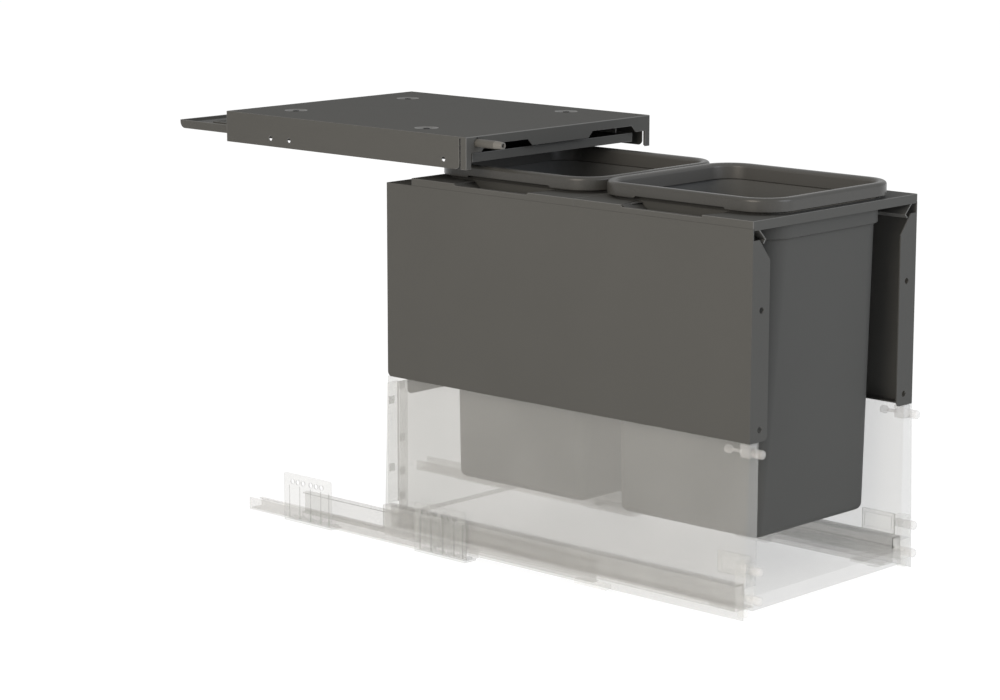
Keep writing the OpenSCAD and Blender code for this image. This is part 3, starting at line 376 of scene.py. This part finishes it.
def finishes():
    """The finishes by name, made once."""
    tints = bpy.context.scene.bin_frame_colours
    made = bpy.data.materials
    if "painted_sheet" not in made:
        powder_coat("painted_sheet", tints.paint, sheen=0.02, rough=0.50)
        # Its lighter tint is a painted highlight; its higher sheen and lower roughness are real gloss
        powder_coat("painted_edge_highlight", tints.paint_edge_highlight, sheen=0.6, rough=0.30)
        powder_coat("black_steel", tints.screw, sheen=0.25, rough=0.40)
        moulded_plastic("bin_moulding", tints.bin_plastic, fineness=1700.0, rough=0.46, sheen=0.12)
        # Lighter copy of the bin plastic: painted light inside the bins
        moulded_plastic("bin_inside_painted_light", tints.bin_inside_painted_light, fineness=2300.0, rough=0.40, sheen=0.12)
        moulded_plastic("ring_moulding", tints.ring_plastic, fineness=2100.0, rough=0.20, sheen=0.33)
        # Lighter copy of the ring plastic: painted light on the rings' inner faces
        moulded_plastic("ring_inside_painted_light", tints.ring_inside_painted_light, fineness=2100.0, rough=0.30, sheen=0.30)
        moulded_plastic("rod_moulding", tints.rod_plastic, fineness=2400.0, rough=0.40, sheen=0.30)
        moulded_plastic("tip_moulding", tints.tip_plastic, fineness=2400.0, rough=0.42, sheen=0.30)
        zinc_plate("zinc_steel", tints.zinc)
        clear_finish("clear_side", tints.clear, cover=0.25, speckle=0.0)
        clear_finish("clear_bracket", tints.clear_bracket, cover=0.17, speckle=0.2)
        clear_finish("clear_trace", tints.clear, cover=0.03, speckle=0.2)
        clear_finish("clear_mark", tints.clear_mark, cover=0.32, speckle=0.2)
        clear_finish("clear_board", tints.clear_board, cover=0.27, speckle=0.1)
        clear_finish("clear_peg", tints.clear_peg, cover=0.28, speckle=0.2)
        tinted_clear("clear_rail", tints.clear_rail, pass_on=0.92, speckle=0.8)
        tinted_clear("clear_fixed_rail", tints.clear_fixed_rail, pass_on=0.92, speckle=0.8)
        tinted_clear("clear_back", tints.clear_back, pass_on=0.92, speckle=0.2)
        tinted_clear("clear_fitting", tints.clear_fitting, pass_on=0.86, speckle=0.2)
        tinted_clear("clear_edge", tints.clear_edge, pass_on=0.80, speckle=0.2)
    return made


def dress(obj, finish):
    """Gives a piece or a node its finish."""
    obj.data.materials.clear()
    obj.data.materials.append(finishes()[finish])


def only(obj):
    """Selects one object and makes it the active one."""
    bpy.ops.object.select_all(action="DESELECT")
    obj.select_set(True)
    bpy.context.view_layer.objects.active = obj


def body_of(node):
    """The CAD body that holds a node."""
    for body, nodes in frame["record"]["behaviour"]["bodies"].items():
        if node in nodes:
            return body
    raise RuntimeError(f"no body holds {node}")


def stand_for(obj, node, finish):
    """Puts a finished piece in the place of its CAD node."""
    dress(obj, finish)
    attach(obj, body_of(node))
    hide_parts(node)


def weigh_edges(obj, share):
    """Weighs the sharp edges in edit mode: one along the top of the front, a share elsewhere."""
    mesh = bmesh.from_edit_mesh(obj.data)
    weight = mesh.edges.layers.float.new("bevel_weight_edge")
    tolerance = 0.05 * MM
    front = min(vert.co.y for vert in mesh.verts) + tolerance
    top = max(vert.co.z for vert in mesh.verts if vert.co.y < front) - tolerance
    for edge in mesh.edges:
        if edge.calc_face_angle(0.0) > SHARP:
            bend = all(vert.co.y < front and vert.co.z > top for vert in edge.verts)
            edge[weight] = 1.0 if bend else share
    bmesh.update_edit_mesh(obj.data)


def soften(node, finish, rounding, smooth=SMOOTH_SMALL, clamp=True, bend=0.0):
    """A copy of a node with merged faces, rounded edges and, where given, a wider front bend."""
    source = frame["nodes"][node]
    obj = source.copy()
    obj.data = source.data.copy()
    obj.name = node + "_finished"
    bpy.context.scene.collection.objects.link(obj)
    only(obj)
    bpy.ops.object.mode_set(mode="EDIT")
    bpy.ops.mesh.select_all(action="SELECT")
    bpy.ops.mesh.remove_doubles(threshold=WELD)
    bpy.ops.mesh.dissolve_limited(angle_limit=FLAT)
    if bend:
        weigh_edges(obj, rounding / bend)
    bpy.ops.object.mode_set(mode="OBJECT")
    bevel = obj.modifiers.new("edges", "BEVEL")
    bevel.width = bend or rounding
    bevel.segments = 2
    bevel.limit_method = "WEIGHT" if bend else "ANGLE"
    bevel.angle_limit = SHARP
    bevel.use_clamp_overlap = clamp
    bpy.ops.object.modifier_apply(modifier=bevel.name)
    finish_mesh(obj, smooth)
    stand_for(obj, node, finish)
    return obj


def shrink(node, finish, share):
    """A copy of a node made smaller round its middle, so that no see-through faces touch."""
    obj = soften(node, finish, FINE_EDGE)
    low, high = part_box(node)
    bpy.ops.object.mode_set(mode="EDIT")
    bpy.ops.mesh.select_all(action="SELECT")
    bpy.ops.transform.resize(value=(share, share, share), center_override=(low + high) / 2)
    bpy.ops.object.mode_set(mode="OBJECT")
    return obj


def mark(obj, finish, chosen):
    """Gives the faces for which chosen(centre, normal) holds a second finish."""
    obj.data.materials.append(finishes()[finish])
    for face in obj.data.polygons:
        if chosen(face.center, face.normal):
            face.material_index = 1


def bevelled(at, up):
    """Whether a face lies on a rounded edge or a slope."""
    return max(abs(c) for c in up) < SQUARE


def plan_centre(low, high):
    """The middle of a box in plan."""
    return (low.x + high.x) / 2, (low.y + high.y) / 2


def inward(centre, at, up):
    """The distance in plan from a face to a centre, measured along the face's normal."""
    return (centre[0] - at.x) * up.x + (centre[1] - at.y) * up.y


def cuboid(middle, sides):
    """A box with the given middle and sides."""
    bpy.ops.object.select_all(action="DESELECT")
    bpy.ops.mesh.primitive_cube_add(size=1.0, location=middle)
    obj = bpy.context.active_object
    obj.scale = sides
    bpy.ops.object.transform_apply(location=True, rotation=True, scale=True)
    return obj


def close_edit():
    """Turns all normals outwards and leaves edit mode."""
    bpy.ops.mesh.select_all(action="SELECT")
    bpy.ops.mesh.normals_make_consistent(inside=False)
    bpy.ops.object.mode_set(mode="OBJECT")


def select_groups(obj, *names):
    """Selects the vertices of the named groups in edit mode."""
    bpy.ops.mesh.select_all(action="DESELECT")
    for name in names:
        obj.vertex_groups.active_index = obj.vertex_groups[name].index
        bpy.ops.object.vertex_group_select()


def loft(name, centre, outlines, closed):
    """Bridges rounded rectangles, each given as width, length, corner radius and height."""
    steps = bpy.context.scene.bin_frame_sizes.corner_steps
    bpy.ops.object.select_all(action="DESELECT")
    bpy.ops.mesh.primitive_plane_add(size=1.0, location=(0, 0, 0))
    obj = bpy.context.active_object
    obj.name = name
    bpy.ops.object.mode_set(mode="EDIT")
    bpy.ops.mesh.select_mode(type="VERT")
    bpy.ops.mesh.select_all(action="SELECT")
    bpy.ops.mesh.delete(type="VERT")
    for i, (w, l, r, z) in enumerate(outlines):
        bpy.ops.mesh.select_all(action="DESELECT")
        at = (centre[0], centre[1], z)
        bpy.ops.mesh.primitive_plane_add(size=1.0, location=at)
        bpy.ops.transform.resize(value=(w, l, 1.0), center_override=at)
        bpy.ops.mesh.bevel(offset=r, offset_type="OFFSET", affect="VERTICES", segments=steps, profile=0.5)
        obj.vertex_groups.new(name=f"outline_{i}")
        bpy.ops.object.vertex_group_assign()
        bpy.ops.mesh.delete(type="ONLY_FACE")
    last = len(outlines) - 1
    pairs = [(i, i + 1) for i in range(last)]
    for a, b in pairs + ([(last, 0)] if closed else []):
        select_groups(obj, f"outline_{a}", f"outline_{b}")
        bpy.ops.mesh.bridge_edge_loops()
    if not closed:
        for end in (0, last):
            select_groups(obj, f"outline_{end}")
            bpy.ops.mesh.edge_face_add()
    close_edit()
    obj.vertex_groups.clear()
    bpy.ops.object.transform_apply(location=True, rotation=True, scale=True)
    return obj


def cut_out(obj, cutter):
    """Takes a cutter out of a piece and removes the cutter."""
    only(obj)
    cut = obj.modifiers.new("cut", "BOOLEAN")
    cut.operation = "DIFFERENCE"
    cut.object = cutter
    cut.solver = "EXACT"
    bpy.ops.object.modifier_apply(modifier=cut.name)
    bpy.data.objects.remove(cutter)


def finish_mesh(obj, angle):
    """Smooth shading up to an angle, led by the large faces."""
    only(obj)
    bpy.ops.object.shade_smooth_by_angle(angle=math.radians(angle))
    normals = obj.modifiers.new("normals", "WEIGHTED_NORMAL")
    normals.keep_sharp = True
    bpy.ops.object.modifier_apply(modifier=normals.name)


def quarter(count):
    """Angles over a quarter turn, without its ends."""
    return [math.pi / 2 * (i + 1) / (count + 1) for i in range(count)]


class BINFRAME_OT_bins(bpy.types.Operator):
    """Model both bins: tapered tubs with a rounded bottom, a collar and a rim"""

    bl_idname = "binframe.bins"
    bl_label = "Bins"

    def tub(self, size, inset, floor, top):
        """Outlines of the tub from its floor up to below the collar."""
        edge = size.bottom_edge
        corner_share, least_corner = 0.7, 1.5 * MM
        w = size.bottom_w - 2 * inset
        l = size.bottom_l - 2 * inset
        r = size.bottom_r - inset
        outlines = []
        for angle in [0.0] + quarter(3) + [math.pi / 2]:
            cut = edge * (1 - math.sin(angle))
            corner = max(r - cut * corner_share, least_corner)
            rise = edge * (1 - math.cos(angle))
            outlines.append((w - 2 * cut, l - 2 * cut, corner, floor + rise))
        step = size.wall_step + inset
        outlines.append((size.collar_w - 2 * step, size.collar_l - 2 * step, size.collar_r - step, top))
        return outlines

    def open_rim(self, obj, size, centre, seat):
        """Cuts the rim away where the finger grips are."""
        depth, clear_of_collar = 6 * MM, 0.05 * MM
        for side in BOTH_WAYS:
            out = size.collar_w / 2 + depth / 2 + clear_of_collar
            middle = (centre[0] + side * out, centre[1], seat)
            cut_out(obj, cuboid(middle, (depth, size.grip_l + 2 * size.grip_flare, 2 * depth)))

    def execute(self, context):
        size = context.scene.bin_frame_sizes
        soft = 0.7 * MM
        least_inward, least_up = 0.1 * MM, 0.5
        for node in ("front_bin", "rear_bin"):
            low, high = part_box(node)
            centre = plan_centre(low, high)
            seat = high.z - size.rim_t
            shoulder = seat - size.collar_h
            w, l, r = size.collar_w, size.collar_l, size.collar_r
            wall = size.bin_wall
            step = size.wall_step

            def grown(out, z):
                return (w + 2 * out, l + 2 * out, r + out, z)

            inside = self.tub(size, wall, low.z + wall, shoulder + soft)
            inside += [
                grown(-wall, shoulder + soft + MM), grown(-wall, high.z - soft),
                grown(-wall + soft, high.z - TILT),
            ]
            rim = [
                grown(size.rim_out - soft, high.z), grown(size.rim_out, high.z - soft),
                grown(size.rim_out, seat + soft), grown(size.rim_out - soft, seat),
                grown(soft * 0.5, seat - TILT),
            ]
            collar = [
                grown(0, seat - soft), grown(0, shoulder + soft), grown(-soft, shoulder + TILT),
                grown(-step + soft, shoulder),
            ]
            outside = list(reversed(self.tub(size, 0.0, low.z, shoulder - soft)))
            obj = loft(node + "_moulded", centre, inside + rim + collar + outside, closed=False)
            self.open_rim(obj, size, centre, seat)
            finish_mesh(obj, SMOOTH_BIN)
            stand_for(obj, node, "bin_moulding")

            # Inward and upward faces below the rim get the painted light
            def painted_light_inside(at, up):
                return at.z < seat and (inward(centre, at, up) > least_inward or up.z > least_up)

            mark(obj, "bin_inside_painted_light", painted_light_inside)
        return {"FINISHED"}


class BINFRAME_OT_bag_rings(bpy.types.Operator):
    """Model both bag rings: a hollow rounded band with finger notches"""

    bl_idname = "binframe.bag_rings"
    bl_label = "Bag rings"

    def notch(self, obj, size, centre, base):
        """Cuts the finger notches out of the outer wall's lower edge."""
        past_wall = 0.75 * MM
        sides = (2 * (size.ring_wall + past_wall), size.notch_l, 2 * size.notch_h)
        for side in BOTH_WAYS:
            cutter = cuboid((centre[0] + side * size.ring_w / 2, centre[1], base), sides)
            bpy.ops.object.mode_set(mode="EDIT")
            bpy.ops.mesh.select_all(action="DESELECT")
            mesh = bmesh.from_edit_mesh(cutter.data)
            for edge in mesh.edges:
                a, b = (v.co for v in edge.verts)
                edge.select = a.z > base and b.z > base and abs(a.x - b.x) > MM
            bmesh.update_edit_mesh(cutter.data)
            bpy.ops.mesh.bevel(offset=size.notch_h, segments=1, affect="EDGES")
            bpy.ops.object.mode_set(mode="OBJECT")
            cut_out(obj, cutter)

    def execute(self, context):
        size = context.scene.bin_frame_sizes
        band, wall, edge = size.ring_band, size.ring_wall, size.ring_edge
        foot, foot_tilt = 0.4 * MM, 0.05 * MM
        # Inner lip: distance from the band's inner face and fall below the top
        lip = [(5.4, 0.1), (3.6, 0.6), (2.2, 1.6), (1.3, 3.0), (0.9, 4.6)]
        # Inner wall's foot, and the hollow below the top: its slopes and their falls
        draft, foot_in, foot_rise = 0.1 * MM, 0.5 * MM, 0.6 * MM
        hollow_in, hollow_back, hollow_fall = 0.8 * MM, 3.4 * MM, 3.4 * MM
        slope_out, slope_fall = 2.4 * MM, 2.6 * MM
        painted_light_margin, least_inward = 6 * MM, 0.2 * size.ring_w
        for node in ("front_bag_ring", "rear_bag_ring"):
            low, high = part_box(node)
            centre = plan_centre(low, high)
            top = high.z
            base = top - size.ring_h
            under = top - wall
            section = [(foot, base - foot_tilt), (0.0, base + foot), (0.0, top - edge)]
            section += [(edge * (1 - math.cos(a)), top - edge * (1 - math.sin(a))) for a in quarter(5)]
            section += [(edge, top)] + [(band - back * MM, top - fall * MM) for back, fall in lip]
            section += [
                (band - draft, low.z + foot_rise), (band - foot_in, low.z),
                (band - wall, low.z + foot_tilt), (band - hollow_in - wall, under - hollow_fall),
                (band - hollow_back - wall, under), (wall + slope_out, under - TILT),
                (wall, under - slope_fall), (wall, base + foot), (wall - foot, base),
            ]
            outlines = [(size.ring_w - 2 * d, size.ring_l - 2 * d, size.ring_r - d, z) for d, z in section]
            obj = loft(node + "_moulded", centre, outlines, closed=True)
            self.notch(obj, size, centre, base)
            finish_mesh(obj, SMOOTH_RING)
            stand_for(obj, node, "ring_moulding")

            # Inward faces away from the ring's ends get the painted light
            def painted_light_inside(at, up):
                from_side = size.ring_w / 2 - abs(at.x - centre[0])
                from_end = size.ring_l / 2 - abs(at.y - centre[1])
                return inward(centre, at, up) > least_inward and min(from_side, from_end) > painted_light_margin

            mark(obj, "ring_inside_painted_light", painted_light_inside)
        return {"FINISHED"}


class BINFRAME_OT_frame_sheets(bpy.types.Operator):
    """Round the edges of the frame's sheets and give them their powder coat"""

    bl_idname = "binframe.frame_sheets"
    bl_label = "Frame sheets"

    def flap(self, size, centre, side, end, high):
        """Models the bent-down end of a finger grip."""
        outer, inner = high.x - SHEET_T, size.opening_w / 2
        obj = cuboid((0, 0, 0), (1, 1, 1))
        bpy.ops.object.mode_set(mode="EDIT")
        mesh = bmesh.from_edit_mesh(obj.data)
        for vert in mesh.verts:
            x = outer if vert.co.x * side > 0 else inner
            back = size.flap_t if vert.co.y * end > 0 else 0.0
            deep = size.flap_h if vert.co.z < 0 else 0.0
            flare = size.grip_flare * (outer - x) / (outer - inner)
            run = size.flap_run * deep / size.flap_h
            vert.co = (side * x, centre + end * (size.grip_l / 2 + flare + back - run), high.z - deep)
        bmesh.update_edit_mesh(obj.data)
        close_edit()
        dress(obj, "painted_sheet")
        return obj

    def brow(self, size, low, high, under):
        """Models the strip that deepens the front edge of the front top frame."""
        inset, thick, proud, lap = 2 * MM, 1.44 * MM, 0.02 * MM, 0.6 * MM
        middle = (0, low.y - proud + thick / 2, under + (lap - size.brow_h) / 2)
        obj = cuboid(middle, (high.x - low.x - 2 * inset, thick, size.brow_h + lap))
        dress(obj, "painted_sheet")
        return obj

    def raise_sheet(self, obj, size, top):
        """Lifts the sheet of a top frame with the upper edges of its walls."""
        lifted_h = 3.4 * MM
        only(obj)
        bpy.ops.object.mode_set(mode="EDIT")
        bpy.ops.mesh.select_mode(type="VERT")
        bpy.ops.mesh.select_all(action="DESELECT")
        mesh = bmesh.from_edit_mesh(obj.data)
        for vert in mesh.verts:
            vert.select = vert.co.z > top - lifted_h
        mesh.select_flush_mode()
        bmesh.update_edit_mesh(obj.data)
        bpy.ops.transform.translate(value=(0, 0, size.frame_rise))
        bpy.ops.object.mode_set(mode="OBJECT")

    def execute(self, context):
        size = context.scene.bin_frame_sizes
        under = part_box("frame_panel_left")[1].z
        seam = MM

        # Faces on rounded edges and slopes, away from the seam under the top frame, get the painted
        # highlight
        def edges(at, up):
            return bevelled(at, up) and abs(at.z - under) > seam

        for node in ("frame_panel_left", "frame_panel_right", "frame_back", "back_screws"):
            mark(soften(node, "painted_sheet", size.sheet_edge), "painted_edge_highlight", edges)
        for end in ("front", "rear"):
            obj = soften("top_frame_" + end, "painted_sheet", size.sheet_edge)
            mark(obj, "painted_edge_highlight", edges)
            centre = plan_centre(*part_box(end + "_bin"))[1]
            low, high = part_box("top_frame_" + end)
            self.raise_sheet(obj, size, high.z)
            top = Vector((high.x, high.y, high.z + size.frame_rise))
            added = [self.flap(size, centre, side, way, top) for side in BOTH_WAYS for way in BOTH_WAYS]
            if end == "front":
                added.append(self.brow(size, low, high, under))
            only(obj)
            for piece in added:
                piece.select_set(True)
            bpy.ops.object.join()
            finish_mesh(obj, SMOOTH_SMALL)
        return {"FINISHED"}


class BINFRAME_OT_lid(bpy.types.Operator):
    """Round the edges of the lid's carrier and pan and give them their powder coat"""

    bl_idname = "binframe.lid"
    bl_label = "Lid"

    def execute(self, context):
        size = context.scene.bin_frame_sizes
        rounding = size.sheet_edge
        for node, bend in (("lid_carrier", size.bend_r), ("lid_pan", 0.0)):
            sheet = soften(node, "painted_sheet", rounding, SMOOTH_SHEET, clamp=False, bend=bend)
            # The lid's rounded edges and the slopes of its seats get the painted highlight
            mark(sheet, "painted_edge_highlight", bevelled)
        soften("post_screws", "black_steel", rounding, SMOOTH_SHEET)
        return {"FINISHED"}


class BINFRAME_OT_lowering_gear(bpy.types.Operator):
    """Finish the push rod, its tip and guide, the cam slide and its posts, studs and pins"""

    bl_idname = "binframe.lowering_gear"
    bl_label = "Lowering gear"

    def execute(self, context):
        rounding = context.scene.bin_frame_sizes.plastic_edge
        soften("plunger", "rod_moulding", rounding)
        soften("plunger_tip", "tip_moulding", rounding)
        soften("plunger_guide", "ring_moulding", rounding)
        for node in ("cam_slide", "guide_posts", "guide_studs", "cam_pins"):
            soften(node, "zinc_steel", rounding)
        return {"FINISHED"}


class BINFRAME_OT_drawer(bpy.types.Operator):
    """Give the drawer box and its fittings their see-through finish"""

    bl_idname = "binframe.drawer"
    bl_label = "Drawer"

    def side(self, size, node):
        """Models a drawer side: a leaning slab with closed ends and a thin skirt below."""
        low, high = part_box(node)
        sign = 1 if low.x > 0 else -1
        inner, skirt = sorted((abs(low.x), abs(high.x)))
        foot = low.z + size.skirt_h
        foot_x = skirt - size.side_lean * size.skirt_h / (high.z - low.z)
        section = [
            (skirt - size.side_lean, high.z), (skirt, low.z), (skirt - size.side_wall, low.z),
            (foot_x - size.side_wall, foot), (inner, foot), (inner, high.z),
        ]
        bpy.ops.object.select_all(action="DESELECT")
        bpy.ops.mesh.primitive_circle_add(vertices=len(section), fill_type="NGON", location=(0, 0, 0))
        obj = bpy.context.active_object
        obj.name = node + "_profile"
        bpy.ops.object.mode_set(mode="EDIT")
        mesh = bmesh.from_edit_mesh(obj.data)
        mesh.verts.ensure_lookup_table()
        for vert, (x, z) in zip(mesh.verts, section):
            vert.co = (sign * x, low.y, z)
        bmesh.update_edit_mesh(obj.data)
        bpy.ops.mesh.select_all(action="SELECT")
        bpy.ops.mesh.extrude_region_move(TRANSFORM_OT_translate={"value": (0, high.y - low.y, 0)})
        close_edit()
        finish_mesh(obj, SMOOTH_SHEET)
        stand_for(obj, node, "clear_side")

    def execute(self, context):
        size = context.scene.bin_frame_sizes
        holder_t, clip_t = 1.55 * MM, 1.3 * MM
        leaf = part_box("drawer_back")[1].y + holder_t
        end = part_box("drawer_side_left")[1].y + holder_t
        rim_tilt = 0.9

        def clips(at, up):
            return leaf < at.y < leaf + clip_t or at.y > end

        def outline(at, up):
            return abs(up.x) < rim_tilt

        for side in LEFT_RIGHT:
            self.side(size, "drawer_side_" + side)
            dress(frame["nodes"]["front_fixing_" + side], "clear_fitting")
            shrink("catch_" + side, "clear_fitting", BLOCK_SHARE)
            mark(shrink("back_holder_" + side, "clear_fitting", HOLDER_SHARE), "clear_edge", clips)
            mark(soften("fixing_cover_" + side, "clear_fitting", FINE_EDGE), "clear_edge", outline)
        dress(frame["nodes"]["drawer_bottom"], "clear_board")
        shrink("drawer_back", "clear_back", BACK_SHARE)
        for node in ("front_dowels", "upper_fixings"):
            soften(node, "clear_peg", size.plastic_edge)
        return {"FINISHED"}


class BINFRAME_OT_runners(bpy.types.Operator):
    """Give the runners, their cages and the wall brackets their see-through finish"""

    bl_idname = "binframe.runners"
    bl_label = "Runners"

    def bracket(self, node):
        """Finishes a wall bracket, with darker grooves and hole edges in its outer face."""
        groove_d, groove_band = 1.9 * MM, 0.6 * MM
        inset, holes_h, hole_tilt = 3 * MM, 16 * MM, 0.3
        low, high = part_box(node)
        face = max(abs(low.x), abs(high.x)) - groove_d

        def grooved(at, up):
            groove = face < abs(at.x) < face + groove_band
            inside = low.y + inset < at.y < high.y - inset and high.z - holes_h < at.z < high.z - inset
            return groove or (inside and abs(up.x) < hole_tilt and abs(at.x) > face)

        mark(soften(node, "clear_bracket", FINE_EDGE), "clear_mark", grooved)

    def execute(self, context):
        for side in LEFT_RIGHT:
            dress(frame["nodes"]["cabinet_rail_" + side], "clear_fixed_rail")
            for node in ("middle_rail_", "drawer_rail_"):
                dress(frame["nodes"][node + side], "clear_rail")
            for node in ("lower_cage_", "upper_cage_", "lower_rollers_", "upper_rollers_"):
                dress(frame["nodes"][node + side], "clear_trace")
            shrink("middle_block_" + side, "clear_fitting", BLOCK_SHARE)
            for place in ("front", "rear"):
                self.bracket(f"bracket_{place}_{side}")
        return {"FINISHED"}


class BINFRAME_OT_stage(bpy.types.Operator):
    """Set the pale floor, the soft light and the camera"""

    bl_idname = "binframe.stage"
    bl_label = "Stage"

    def floor(self, context):
        """A floor that takes the shadow and is white where it is seen."""
        bpy.ops.object.select_all(action="DESELECT")
        bpy.ops.mesh.primitive_plane_add(size=FLOOR_SIDE, location=(0, 0, -FLOOR_DROP))
        floor = bpy.context.active_object
        floor.name = "floor"
        bpy.ops.object.transform_apply(location=True, rotation=True, scale=True)
        f = Finish("pale_floor")
        seen, mirrored, through = (f.node("ShaderNodeLightPath", output=ray) for ray in SEEING_RAYS)
        share = (seen + mirrored + through) * FLOOR_GLOW_SHARE
        tint = (*context.scene.bin_frame_colours.floor, 1.0)
        matt = f.node("ShaderNodeBsdfDiffuse", inputs={"Color": tint})
        glow = f.node("ShaderNodeEmission", inputs={"Color": WHITE, "Strength": FLOOR_GLOW})
        mixed = f.node("ShaderNodeMixShader", inputs={0: share, 1: matt, 2: glow})
        f.node("ShaderNodeOutputMaterial", inputs={"Surface": mixed})
        floor.data.materials.append(f.material)

    def world(self):
        """An even white world, brighter where it is seen than as a light."""
        world = bpy.data.worlds.new("studio")
        bpy.context.scene.world = world
        world.use_nodes = True
        tree = world.node_tree
        tree.nodes.clear()
        path = tree.nodes.new("ShaderNodeLightPath")
        seen, mirrored, through = (Value(tree, path.outputs[ray]) for ray in SEEING_RAYS)
        strength = WORLD_LIGHT + (seen + through) * WORLD_SEEN + mirrored * WORLD_MIRRORED
        back = tree.nodes.new("ShaderNodeBackground")
        back.inputs["Color"].default_value = WHITE
        tree.links.new(strength.socket, back.inputs["Strength"])
        out = tree.nodes.new("ShaderNodeOutputWorld")
        tree.links.new(back.outputs[0], out.inputs[0])

    def lamp(self, name, place, power, tint):
        """A soft round lamp that points at the object."""
        data = bpy.data.lights.new(name, "AREA")
        data.shape = "DISK"
        data.size = LAMP_SIZE
        data.energy = power
        data.color = tint
        lamp = bpy.data.objects.new(name, data)
        lamp.location = place
        lamp.rotation_euler = (Vector(LAMP_AIM) - Vector(place)).to_track_quat("-Z", "Y").to_euler()
        bpy.context.scene.collection.objects.link(lamp)

    def camera(self):
        """The camera that the photo was taken from."""
        data = bpy.data.cameras.new("camera")
        data.sensor_width = SENSOR
        data.lens = LENS
        data.clip_end = CAMERA_REACH
        camera = bpy.data.objects.new("camera", data)
        up = CAMERA_RIGHT.cross(CAMERA_AHEAD).normalized()
        camera.matrix_world = Matrix((CAMERA_RIGHT, up, -CAMERA_AHEAD)).transposed().to_4x4()
        camera.location = CAMERA_PLACE
        bpy.context.scene.collection.objects.link(camera)
        bpy.context.scene.camera = camera

    def execute(self, context):
        context.scene.view_settings.view_transform = "Standard"
        self.floor(context)
        self.world()
        for lamp in LAMPS:
            self.lamp(*lamp)
        self.camera()
        return {"FINISHED"}


OPERATORS = (
    BINFRAME_OT_stage,
    BINFRAME_OT_frame_sheets,
    BINFRAME_OT_lid,
    BINFRAME_OT_lowering_gear,
    BINFRAME_OT_bins,
    BINFRAME_OT_bag_rings,
    BINFRAME_OT_drawer,
    BINFRAME_OT_runners,
)


class BINFRAME_PT_sidebar(bpy.types.Panel):
    """Sidebar panel with the sizes, colours and operators of the bin frame"""

    bl_idname = "BINFRAME_PT_sidebar"
    bl_label = "Bin frame"
    bl_space_type = "VIEW_3D"
    bl_region_type = "UI"
    bl_category = "Bin frame"

    def draw(self, context):
        for group in (context.scene.bin_frame_sizes, context.scene.bin_frame_colours):
            box = self.layout.box()
            for key in group.__annotations__:
                box.prop(group, key)
        for operator in OPERATORS:
            self.layout.operator(operator.bl_idname)


CLASSES = (BinFrameSizes, BinFrameColours, *OPERATORS, BINFRAME_PT_sidebar)


def register():
    for cls in CLASSES:
        bpy.utils.register_class(cls)
    bpy.types.Scene.bin_frame_sizes = PointerProperty(type=BinFrameSizes)
    bpy.types.Scene.bin_frame_colours = PointerProperty(type=BinFrameColours)


def unregister():
    del bpy.types.Scene.bin_frame_colours
    del bpy.types.Scene.bin_frame_sizes
    for cls in reversed(CLASSES):
        bpy.utils.unregister_class(cls)


def main():
    register()
    bpy.ops.binframe.stage()
    bpy.ops.binframe.frame_sheets()
    bpy.ops.binframe.lid()
    bpy.ops.binframe.lowering_gear()
    bpy.ops.binframe.bins()
    bpy.ops.binframe.bag_rings()
    bpy.ops.binframe.drawer()
    bpy.ops.binframe.runners()


if __name__ == "__main__":
    main()
